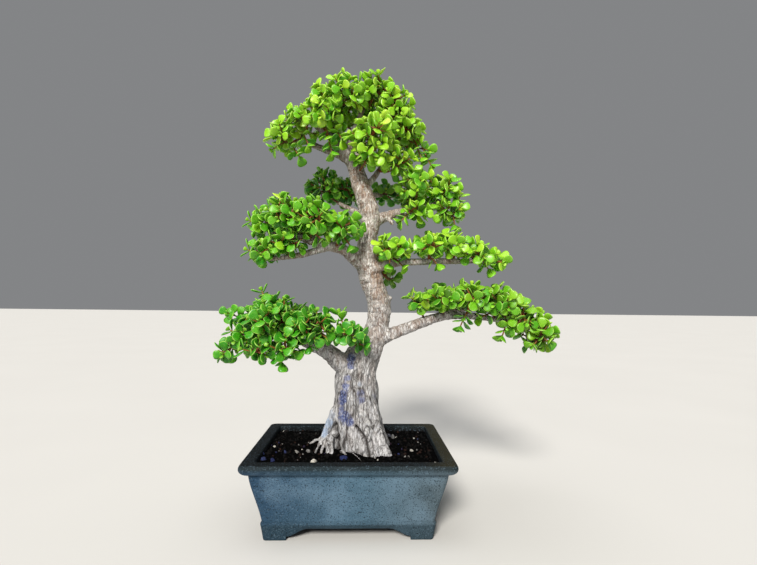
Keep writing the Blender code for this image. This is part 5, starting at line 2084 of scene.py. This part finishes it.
class Shoot:
    """A square stem with pairs of leaves standing on its sides, each pair square to the last."""

    def __init__(self, number: int, route: list[Vector], turn: float, main: bool = False) -> None:
        """Rings the stem where its first two pairs of leaves stand.

        Args:
            number: Its number within the spray.
            route: The points from its fork to its tip.
            turn: How far its leaves are turned round it, in degrees.
            main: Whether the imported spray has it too.
        """
        self.number = number
        self.main = main
        self.route = route
        self.length = sum((b - a).length for a, b in zip(route, route[1:])) - RULES.shoot_slack * MM
        step, height = RULES.pair_step * MM, RULES.pair_height * MM
        back = [0.0, height, step, step + height, self.length]
        back = sorted(set(distance for distance in back if distance <= self.length), reverse=True)
        points = [place_back(route, distance) for distance in back]
        count = len(points) - 1
        along = (points[1] - points[0]).normalized()
        self.guide = Matrix.Rotation(math.radians(turn), 3, along) @ along.orthogonal()
        radii = [mixed(RULES.shoot_radii, k / count) * MM for k in range(count + 1)]
        self.rings = tube_rings(points, radii, 4, self.guide)

    def feet(self, pair: int, side: int) -> Optional[list[Vector]]:
        """Finds where a leaf of the first two pairs stands.

        Args:
            pair: Which pair, from the tip down.
            side: The stem's side that it stands on, turned on for the second pair.

        Returns:
            Four points, or nothing where the stem is too short.
        """
        index = len(self.rings) - 2 - 2 * pair
        if index <= 0:
            return None
        low, high = self.rings[index], self.rings[index + 1]
        first, second = (pair % 2 + side) % 4, (pair % 2 + side + 1) % 4
        return [low[first], low[second], high[second], high[first]]

    def square(self, back: float) -> Optional[list[Vector]]:
        """Finds a square round the stem.

        Args:
            back: How far back from its tip, or below zero beyond it.

        Returns:
            Four points, or nothing where the stem is too short.
        """
        tip_way = (self.route[-1] - self.route[-2]).normalized()
        point, along = self.route[-1] - tip_way * back, tip_way
        if back > 0:
            point = place_back(self.route, back)
            ahead = place_back(self.route, max(0.0, back - RULES.look_ahead * MM))
            if point is None:
                return None
            along = (ahead - point).normalized()
        guide = (self.guide - along * self.guide.dot(along)).normalized()
        return tube_rings([point, point + along * MM], [RULES.shoot_radii[1] * MM] * 2, 4, guide)[0]

    def fine_feet(self, back: float, parity: int, side: int) -> Optional[list[Vector]]:
        """Finds where a leaf stands anywhere along the stem.

        Args:
            back: How far back from the tip.
            parity: 1 for a pair that is square to the first.
            side: The stem's side that it stands on.

        Returns:
            Four points, or nothing where the stem is too short.
        """
        low, high = self.square(back + RULES.pair_height * MM), self.square(back)
        if not low or not high or back > self.length - RULES.fork_clear * MM:
            return None
        first, second = (parity + side) % 4, (parity + side + 1) % 4
        return [low[first], low[second], high[second], high[first]]

    def put(self, skin: Skin) -> None:
        """Adds the fine stem with a bud at its tip.

        Args:
            skin: Where the stem is added.
        """
        count = len(self.route) - 1
        radii = [mixed(RULES.shoot_radii, k / count) * RULES.stem_slim for k in range(count + 1)]
        tip = (self.route[-1] - self.route[-2]).normalized() * MM
        points = self.route + [self.route[-1] + tip * out for out, _ in RULES.bud]
        radii += [radii[-1] * width for width in [width for _, width in RULES.bud]]
        add_tube(skin, points, [radius * MM for radius in radii], RULES.stem_sides)


class Element:
    """A stem or leaf as later ones see it: its surface and its box."""

    def __init__(self, bm: bmesh.types.BMesh, spray: int, stem: int, pair: Optional[int]) -> None:
        """Reads the shape.

        Args:
            bm: The shape.
            spray: The number of its spray.
            stem: The number of its stem.
            pair: The number of its pair, for a leaf.
        """
        self.spray, self.stem, self.pair = spray, stem, pair
        self.tree = BVHTree.FromBMesh(bm)
        co = np.array([v.co for v in bm.verts])
        self.low, self.high = co.min(0), co.max(0)

    def cells(self, size: float) -> Iterable[tuple[int, int, int]]:
        """Finds the cells of a grid that the shape's box touches.

        Args:
            size: The cells' size.

        Returns:
            Their places in the grid, one after another.
        """
        low, high = (np.floor(end / size).astype(int) for end in (self.low, self.high))
        for i in range(low[0], high[0] + 1):
            for j in range(low[1], high[1] + 1):
                for k in range(low[2], high[2] + 1):
                    yield i, j, k

    def meets(self, other: "Element") -> bool:
        """True where the two surfaces cross.

        Args:
            other: The other stem or leaf.

        Returns:
            Whether they cross.
        """
        if (self.low > other.high).any() or (other.low > self.high).any():
            return False
        return bool(self.tree.overlap(other.tree))

    def may_meet(self, other: "Element") -> bool:
        """Tells which elements may cross.

        Args:
            other: The other element.

        Returns:
            True for two stems of one spray, for a leaf and its own stem, and for the leaves of one pair.
        """
        if self.spray != other.spray:
            return False
        if self.pair is None and other.pair is None:
            return True
        if self.stem != other.stem:
            return False
        return self.pair is None or other.pair is None or self.pair == other.pair


class Spray:
    """One leafy spray: a twig from the wood into its leaf mass, and shoots from there out to its skin."""

    def __init__(self, number: int, pad: Pad, place: int, row: Row) -> None:
        """Reads the plan of a spray.

        Args:
            number: Its number among all sprays.
            pad: The pad that it belongs to.
            place: Its number within the pad.
            row: Its row in SPRAYS.
        """
        self.number = number
        self.name = f"{pad.value}_{place}"
        self.pad = pad
        self.middle = mm(*row[:3])
        self.half = mm(row[3], row[4] * RULES.depth_stretch, row[5])
        self.rnd = Random(SEED + number)
        self.looks = Random(SEED * 100 + number)
        self.packed: set[tuple[float, ...]] = set()
        self.root = Vector()
        self.twig: list[Vector] = []
        self.shoots: list[Shoot] = []
        self.leaves: list[tuple[Leaf, float, float]] = []

    def packed_at(self, middle: Vector, distance: float) -> list[Vector]:
        """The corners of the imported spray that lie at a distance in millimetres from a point."""
        corners = [Vector(corner) for corner in self.packed]
        return [p for p in corners if abs((p - middle).length - distance * MM) < RULES.match * MM]

    def twig_widths(self, route: Sequence[Vector]) -> list[float]:
        """The twig's radius at each point of its route."""
        return [mixed(RULES.twig_radii, k / (len(route) - 1)) * MM for k in range(len(route))]

    def holds(self, point: Vector) -> bool:
        """True where a point lies well inside this leaf mass."""
        return self.depth_of(point) < RULES.well_inside

    def tip(self, ray: Vector, depth: float = 1.0) -> tuple[Vector, Vector]:
        """The point on the leaf mass's skin in a direction, or below it, and the way out there.

        Args:
            ray: The direction.
            depth: The share of the way out at which the point lies.

        Returns:
            The point and the way out.
        """
        point = self.middle + Vector([self.half[i] * ray[i] * depth for i in range(3)])
        leave = Vector([ray[i] / self.half[i] for i in range(3)]).normalized()
        return point, (leave + UP * RULES.tip_rise).normalized()

    def green(self, point: Vector) -> float:
        """How yellow a leaf is: by its pad, and yellower the higher it grows in its leaf mass."""
        height = (point.z - self.middle.z) / self.half.z
        return GREENS[self.pad][0] + RULES.height_yellow * height + self.looks.gauss(0, RULES.green_spread)

    def depth_of(self, point: Vector) -> float:
        """How far out a point lies: 0 in the middle of the leaf mass and 1 on its skin."""
        away = point - self.middle
        return math.sqrt(sum((away[i] / self.half[i]) ** 2 for i in range(3)))

    def shaded(self, leaf: Leaf) -> float:
        """How much painted shade darkens a leaf: more deep inside its leaf mass and behind the trunk, and by
        its pad, which may paint it lighter.

        Args:
            leaf: The leaf.

        Returns:
            Its painted shade: the higher, the darker.
        """
        depth = 1 - self.depth_of(leaf.foot + leaf.reach * leaf.length / 2)
        behind = smooth((leaf.foot.y - RULES.behind_from * MM) / (RULES.behind_over * MM))
        return smooth(depth / RULES.shade_depth) + RULES.shade_behind * behind + GREENS[self.pad][1]

    def build(self, layout: Layout, box: tuple[Vector, Vector], finishes: Sequence) -> bpy.types.Object:
        """Makes the spray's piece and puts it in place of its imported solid.

        Args:
            layout: Where the pot stands.
            box: The lowest and highest corner of the box that holds it.
            finishes: The leaves' material, then the stems'.

        Returns:
            The piece.
        """
        skin = Skin()
        twig = [self.root] + self.twig
        add_tube(skin, twig, self.twig_widths(twig), RULES.twig_sides)
        for shoot in self.shoots:
            shoot.put(skin)
        for leaf, green, young in self.leaves:
            leaf.put(skin, self.looks, green, young)
        skin.points = [np.clip(points, *box) for points in skin.points]
        mesh = skin.mesh("foliage_" + self.name, finishes)
        return add_piece("foliage_" + self.name, layout.settle(mesh), ["spray_" + self.name])


class Thicket:
    """Every spray on the wood, each kept clear of the wood and of the others."""

    CELL = 20 * MM

    def __init__(self, nodes: dict, layout: Layout, wood: BVHTree, low: Vector, high: Vector) -> None:
        """Lays out the sprays.

        Args:
            nodes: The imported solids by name.
            layout: Where the pot stands.
            wood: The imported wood's surface.
            low: The lowest corner of the box that leaves stay in.
            high: The highest corner of that box.
        """
        self.wood, self.low, self.high = wood, low, high
        self.grid: dict[tuple[int, int, int], list[Element]] = {}
        self.tips: list[Vector] = []
        rows = [(pad, i + 1, row) for pad, plans in SPRAYS.items() for i, row in enumerate(plans)]
        self.sprays = [Spray(number, *row) for number, row in enumerate(rows)]
        for spray in self.sprays:
            for vertex in nodes["spray_" + spray.name].data.vertices:
                spray.packed.add(tuple(round(value, 6) for value in vertex.co - layout.shift))

    def takes(
        self, spray: Spray, bm: bmesh.types.BMesh, stem: int, pair: Optional[int] = None,
        gap: float = RULES.spray_gap,
    ) -> bool:
        """Records a piece if it is clear of all that it may not touch, and says whether it was.

        Args:
            spray: The spray that it belongs to.
            bm: Its coarse shape, which is freed.
            stem: The number of its stem.
            pair: The number of its pair, for a leaf.
            gap: How far in millimetres it must stay clear.

        Returns:
            Whether there was room for it.
        """
        grown = bm.copy()
        grown.normal_update()
        for vert in grown.verts:
            vert.co += vert.normal * gap * MM
        test = Element(grown, spray.number, stem, pair)
        grown.free()
        near = {id(e): e for cell in test.cells(self.CELL) for e in self.grid.get(cell, ())}
        free = not self.wood.overlap(test.tree) and not any(
            test.meets(other) for other in near.values() if not test.may_meet(other)
        )
        if free:
            element = Element(bm, spray.number, stem, pair)
            for cell in element.cells(self.CELL):
                self.grid.setdefault(cell, []).append(element)
        bm.free()
        return free

    def grow_twig(self, spray: Spray) -> None:
        """Grows the twig that carries a spray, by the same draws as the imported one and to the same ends.

        Args:
            spray: The spray.
        """
        for attempt in range(RULES.twig_tries):
            stray = Vector([spray.half[i] * spray.rnd.uniform(-1, 1) for i in range(3)])
            hub = spray.middle - UP * spray.half.z * RULES.hub_drop + stray * attempt * RULES.hub_stray
            reach = attempt * RULES.base_search * MM
            search = hub + Vector([spray.rnd.uniform(-reach, reach) for _ in range(3)])
            place = self.wood.find_nearest(search)[0]
            foot = spray.packed_at(place, math.hypot(RULES.twig_radii[0], RULES.wood_gap))
            if len(foot) < 4 or not spray.packed_at(hub, RULES.twig_radii[1]):
                continue
            normal = (sum(foot, Vector()) / len(foot) - place).normalized()
            start = place + normal * RULES.wood_gap * MM
            stub = start + normal * RULES.twig_stub * MM
            handle = stub + normal * (hub - stub).length * RULES.twig_bend[0]
            spray.root = place - normal * RULES.twig_root * MM
            spray.twig = [start] + bezier(
                stub, handle, hub.lerp(handle, RULES.twig_bend[1]), hub, RULES.twig_steps
            )
            self.takes(spray, tube_mesh(tube_rings(spray.twig, spray.twig_widths(spray.twig), 4)), 0)
            return

    def grow_shoots(self, spray: Spray) -> None:
        """Grows a spray's main shoots out to the skin of its leaf mass, spread as widely as they can be.

        Args:
            spray: The spray.
        """
        rise = RULES.first_rise * spray.half.length
        outward = Vector((spray.middle.x, spray.middle.y, rise)).normalized()
        chosen: list[Vector] = []
        for number in range(1, (3 if spray.half.length > RULES.big_spray * MM else 2) + 1):
            for attempt in range(RULES.shoot_tries):
                ray = self.next_ray(spray, chosen, outward if attempt == 0 else None)
                point, leave = spray.tip(ray)
                route = self.route(spray.twig, point, leave, (1 - RULES.fork_step * number, *RULES.forks))
                shoot = Shoot(number, route, RULES.shoot_turn * number, True)
                if self.takes(spray, tube_mesh(shoot.rings), number):
                    chosen.append(ray)
                    spray.shoots.append(shoot)
                    break

    def crowded(self, spray: Spray, tip: Vector) -> bool:
        """True where a tip of a spray lies well inside the leaf mass of another."""
        return any(other.holds(tip) for other in self.sprays if other is not spray)

    def next_ray(self, spray: Spray, chosen: Sequence[Vector], outward: Optional[Vector]) -> Vector:
        """Looks for room for one more main shoot.

        Args:
            spray: The spray.
            chosen: The directions of its main shoots so far.
            outward: The direction away from the trunk, for the first shoot's first try.

        Returns:
            The direction furthest from those taken whose tip is in the open.
        """
        if outward and not chosen:
            return outward
        best, best_room = UP, -1.0
        for _ in range(RULES.ray_tries):
            ray = Vector([spray.rnd.gauss(0, 1) for _ in range(3)]).normalized()
            if ray.z < RULES.lowest_ray or self.crowded(spray, spray.tip(ray)[0]):
                continue
            room = min([(ray - other).length for other in chosen] + [2.0]) + RULES.ray_rise * ray.z
            if room > best_room:
                best, best_room = ray, room
        return best

    def route(self, stem: list[Vector], point: Vector, leave: Vector, shares: Row) -> list[Vector]:
        """Draws a shoot's curve from a stem to its tip.

        Args:
            stem: The route of the stem.
            point: The tip.
            leave: Which way the shoot points there.
            shares: Where on the stem it may fork, the later ones where the tip is near.

        Returns:
            Its points.
        """
        for share in shares:
            start, along = place_on(stem, share)
            reach = (point - start).length
            if reach >= RULES.shoot_shortest * MM:
                break
        straight = (point - start).normalized()
        first = start + (along + straight) * reach * RULES.shoot_ease[0]
        last = point - (leave + straight * RULES.tip_straight).normalized() * reach * RULES.shoot_ease[1]
        return bezier(start, first, last, point, RULES.shoot_steps)

    def grow_leaves(self, spray: Spray) -> None:
        """Sets two pairs of leaves on each main shoot.

        Args:
            spray: The spray.
        """
        for shoot in spray.shoots:
            for pair in range(2):
                for side in (0, 2):
                    length = mixed(RULES.leaf_length, spray.rnd.random()) * MM
                    feet, lean = shoot.feet(pair, side), RULES.leaf_lean[pair]
                    self.set_leaf(spray, shoot, pair, feet, lean, length, RULES.main_youth)

    def set_leaf(
        self, spray: Spray, shoot: Shoot, pair: int, feet: Optional[list[Vector]], lean: float,
        length: float, young: float,
    ) -> None:
        """Sets one leaf, turned or leaned a little where its place is taken, or leaves it out.

        Args:
            spray: The spray.
            shoot: The shoot.
            pair: The number of its pair.
            feet: The four points that it stands on, or nothing where the stem is too short.
            lean: How far it leans from the stem, in degrees.
            length: Its length in metres.
            young: How young it is.
        """
        for turn, tilt in RULES.nudges if feet else ():
            leaf = Leaf(feet, length, lean, turn, tilt)
            packed = shoot.main and pair < 2
            outside = any(p[i] < self.low[i] or p[i] > self.high[i] for p in leaf.corners() for i in range(3))
            if outside and not packed:
                continue
            gap = RULES.spray_gap if packed else RULES.fine_gap
            if self.misses_stem(shoot, leaf) and self.takes(spray, leaf.coarse(), shoot.number, pair, gap):
                # The leaf's painted shade is taken off its youth
                spray.leaves.append((leaf, spray.green(leaf.foot), young - spray.shaded(leaf)))
                return

    def misses_stem(self, shoot: Shoot, leaf: Leaf) -> bool:
        """True where a leaf, beyond its foot, stays off the stem that it stands on.

        Args:
            shoot: The shoot that the leaf stands on.
            leaf: The leaf.

        Returns:
            Whether it stays off.
        """
        stem, blade = tube_mesh(shoot.rings), leaf.coarse(RULES.foot_clear)
        crossing = BVHTree.FromBMesh(stem).overlap(BVHTree.FromBMesh(blade))
        stem.free()
        blade.free()
        return not crossing

    def reach_out(self) -> None:
        """Grows the loose sprigs, each from the first leaf mass near it that has room for its stem."""
        for x, y, z in LOOSE_TIPS:
            for back in RULES.loose_backs:
                tip = mm(x, y + back, z)
                near = sorted(self.sprays, key=lambda spray: spray.depth_of(tip))[:RULES.loose_near]
                if any(self.fork(spray, tip, (tip - spray.middle).normalized()) for spray in near):
                    break

    def fill(self, spray: Spray) -> None:
        """Adds finer shoots wherever the skin of a spray's leaf mass still lies bare.

        Args:
            spray: The spray.
        """
        most = len(spray.shoots) + RULES.tip_most
        for _ in range(RULES.tip_tries):
            ray = Vector([spray.looks.gauss(0, 1) for _ in range(3)]).normalized()
            tip, leave = spray.tip(ray, mixed(RULES.tip_depth, spray.looks.random()))
            if ray.z < RULES.lowest_ray or len(spray.shoots) >= most:
                continue
            if any((tip - other).length < RULES.tip_apart * MM for other in self.tips):
                continue
            if not self.crowded(spray, tip) and self.wood.find_nearest(tip)[3] >= RULES.off_wood * MM:
                self.fork(spray, tip, leave)

    def fork(self, spray: Spray, tip: Vector, leave: Vector) -> bool:
        """Grows one finer shoot to a tip.

        Args:
            spray: The spray.
            tip: Where the shoot ends.
            leave: Which way it points there.

        Returns:
            True where there was room for its stem.
        """
        number = len(spray.shoots) + 1
        stem, share = self.fork_for(spray, tip)
        shoot = Shoot(number, self.route(stem, tip, leave, (share,)), spray.looks.uniform(0, 90))
        if not self.takes(spray, tube_mesh(shoot.rings), number, gap=RULES.fine_gap):
            return False
        spray.shoots.append(shoot)
        self.tips.append(tip)
        return True

    def fork_for(self, spray: Spray, tip: Vector) -> tuple[list[Vector], float]:
        """Finds where a finer shoot can fork, near its tip but not too near.

        Args:
            spray: The spray.
            tip: Where the shoot ends.

        Returns:
            The route of the twig or main shoot that it forks from, and the share of it.
        """
        found = [(spray.twig, share) for share in RULES.twig_forks]
        mains = [shoot.route for shoot in spray.shoots if shoot.main]
        found += [(route, share) for route in mains for share in RULES.shoot_forks]
        reach = RULES.fork_reach * MM
        near = [(abs((tip - place_on(*fork)[0]).length - reach), i) for i, fork in enumerate(found)]
        return found[min(near)[1]]

    def grow_fine_leaves(self, spray: Spray, pairs: Iterable[int]) -> None:
        """Sets pairs of leaves wherever the main growth has none.

        Args:
            spray: The spray.
            pairs: Which of the pairs that the rules list.
        """
        for shoot in spray.shoots:
            for pair in pairs:
                back, parity, lean, size, young = RULES.fine_pairs[pair]
                if shoot.main and pair < 2:
                    continue
                for side in (0, 2):
                    length = mixed(RULES.leaf_length, spray.looks.random()) * size * MM
                    feet = shoot.fine_feet(back * MM, int(parity), side)
                    lean_here = lean + spray.looks.gauss(0, RULES.lean_spread)
                    self.set_leaf(spray, shoot, pair, feet, lean_here, length, young)

    def grow(self) -> None:
        """Grows the twigs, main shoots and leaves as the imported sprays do, then the finer ones between."""
        for stage in (self.grow_twig, self.grow_shoots, self.grow_leaves):
            for spray in self.sprays:
                stage(spray)
        log.info("main leaves: %d", sum(len(spray.leaves) for spray in self.sprays))
        self.tips = [shoot.route[-1] for spray in self.sprays for shoot in spray.shoots]
        self.reach_out()
        for spray in self.sprays:
            self.fill(spray)
        for pairs in ((0, 1), (2, 3), (4,)):
            for spray in self.sprays:
                self.grow_fine_leaves(spray, pairs)
        log.info("all leaves: %d", sum(len(spray.leaves) for spray in self.sprays))

    def build(self, layout: Layout) -> None:
        """Makes one piece of each spray.

        Args:
            layout: Where the pot stands in the frame.
        """
        finishes = [JadeLeafSkin().make(), JadeStemSkin().make()]
        for spray in self.sprays:
            spray.build(layout, (self.low, self.high), finishes)


# Studio


@dataclass(frozen=True)
class Studio:
    """A wide pale floor, soft lights and the photograph's camera. Metres and degrees."""

    floor_reach: float = 40.0
    floor_sides: int = 64
    lens: float = 21.6
    sensor: float = 36.0
    eye: Row = (0.0154, -0.6631, 0.2912)
    pitch: float = 3.22
    yaw: float = 1.85
    roll: float = 0.58
    clip: Pair = (0.01, 30.0)
    # Where each light comes from, how wide it is in degrees, its strength and colour
    lights: tuple[tuple, ...] = (
        ("key", (-0.5, -1.9, 1.35), 16.0, 4.7, "#fffaf2"),
        ("top", (-0.3, 0.0, 2.0), 50.0, 1.2, "#ffffff"),
    )
    sky: str = "#e9ebee"
    sky_strength: float = 0.28

    def build_floor(self) -> bpy.types.Object:
        """Lays the level floor, one round face.

        Returns:
            The floor.
        """
        edge = np.array([(cos, sin, 0.0) for cos, sin in circle(self.floor_sides)]) * self.floor_reach
        skin = Skin()
        skin.add(edge, [range(self.floor_sides)])
        floor = add_object("studio_floor", skin.mesh("studio_floor", [StudioFloor().make()]))
        floor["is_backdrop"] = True
        return floor

    def build_lights(self, layout: Layout) -> None:
        """Sets the lights, each turned to the tree, and lights the sky.

        Args:
            layout: Where the pot stands in the frame.
        """
        for name, place, width, strength, code in self.lights:
            data = bpy.data.lights.new(name, "SUN")
            data.angle, data.energy, data.color = math.radians(width), strength, linear(code)[:3]
            lamp = add_object(name, data)
            lamp.location = layout.shift + Vector(place)
            lamp.rotation_euler = (-Vector(place)).to_track_quat("-Z", "Y").to_euler()
        world = bpy.data.worlds.new("studio_sky")
        world.use_nodes = True
        sky = world.node_tree.nodes["Background"]
        sky.inputs["Color"].default_value = linear(self.sky)
        sky.inputs["Strength"].default_value = self.sky_strength
        bpy.context.scene.world = world

    def build_camera(self, layout: Layout) -> None:
        """Puts the camera where the photograph was taken from.

        Args:
            layout: Where the pot stands in the frame.
        """
        pitch, yaw, roll = (math.radians(angle) for angle in (self.pitch, self.yaw, self.roll))
        ahead = Vector((math.sin(yaw) * math.cos(pitch), math.cos(yaw) * math.cos(pitch), math.sin(pitch)))
        level = Vector((math.cos(yaw), -math.sin(yaw), 0.0))
        upright = level.cross(ahead)
        right = level * math.cos(roll) + upright * math.sin(roll)
        above = upright * math.cos(roll) - level * math.sin(roll)
        data = bpy.data.cameras.new("photo_camera")
        data.lens, data.sensor_width, data.dof.use_dof = self.lens, self.sensor, False
        data.clip_start, data.clip_end = self.clip
        camera = add_object("photo_camera", data)
        camera.matrix_world = Matrix.Translation(layout.shift + Vector(self.eye)) @ Matrix(
            (right, above, -ahead)
        ).transposed().to_4x4()
        bpy.context.scene.camera = camera

    def build(self, layout: Layout) -> None:
        """Sets up the whole studio.

        Args:
            layout: Where the pot stands in the frame.
        """
        self.build_floor()
        self.build_lights(layout)
        self.build_camera(layout)
        bpy.context.scene.view_settings.view_transform = "Standard"
        bpy.context.scene.view_settings.look = "None"


def wood_tree(node: bpy.types.Object, layout: Layout) -> BVHTree:
    """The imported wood's surface, measured from the pot's middle."""
    points = [vertex.co - layout.shift for vertex in node.data.vertices]
    return BVHTree.FromPolygons(points, [tuple(face.vertices) for face in node.data.polygons])


def dress_screens(nodes: dict[str, bpy.types.Object]) -> None:
    """Gives the two kept drain screens their finish.

    Args:
        nodes: The frame's objects by their names.
    """
    plastic = MouldedScreenPlastic().make()
    for side in ("left", "right"):
        screen = nodes["drain_screen_" + side]
        for place in screen.material_slots:
            place.material = plastic


def main() -> None:
    """Builds the bonsai from the pot up, then the studio."""
    logging.basicConfig(level=logging.INFO, format="%(name)s: %(message)s")
    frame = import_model()
    cad_low, cad_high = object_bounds()
    layout = Layout.from_frame()
    wood = wood_tree(frame["nodes"]["wood"], layout)

    Pot().build(layout)
    dress_screens(frame["nodes"])
    soil = SoilBed()
    soil.build_bed(layout)
    soil.build_grit(layout, wood)
    Wood().build(layout)
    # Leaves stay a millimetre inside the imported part's box
    inset = mm(1, 1, 1)
    low, high = cad_low - layout.shift + inset, cad_high - layout.shift - inset
    thicket = Thicket(frame["nodes"], layout, wood, low, high)
    thicket.grow()
    thicket.build(layout)
    Studio().build(layout)

    low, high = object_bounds()
    sizes = {"cad": [list(cad_low), list(cad_high)], "visual": [list(low), list(high)]}


if __name__ == "__main__":
    main()
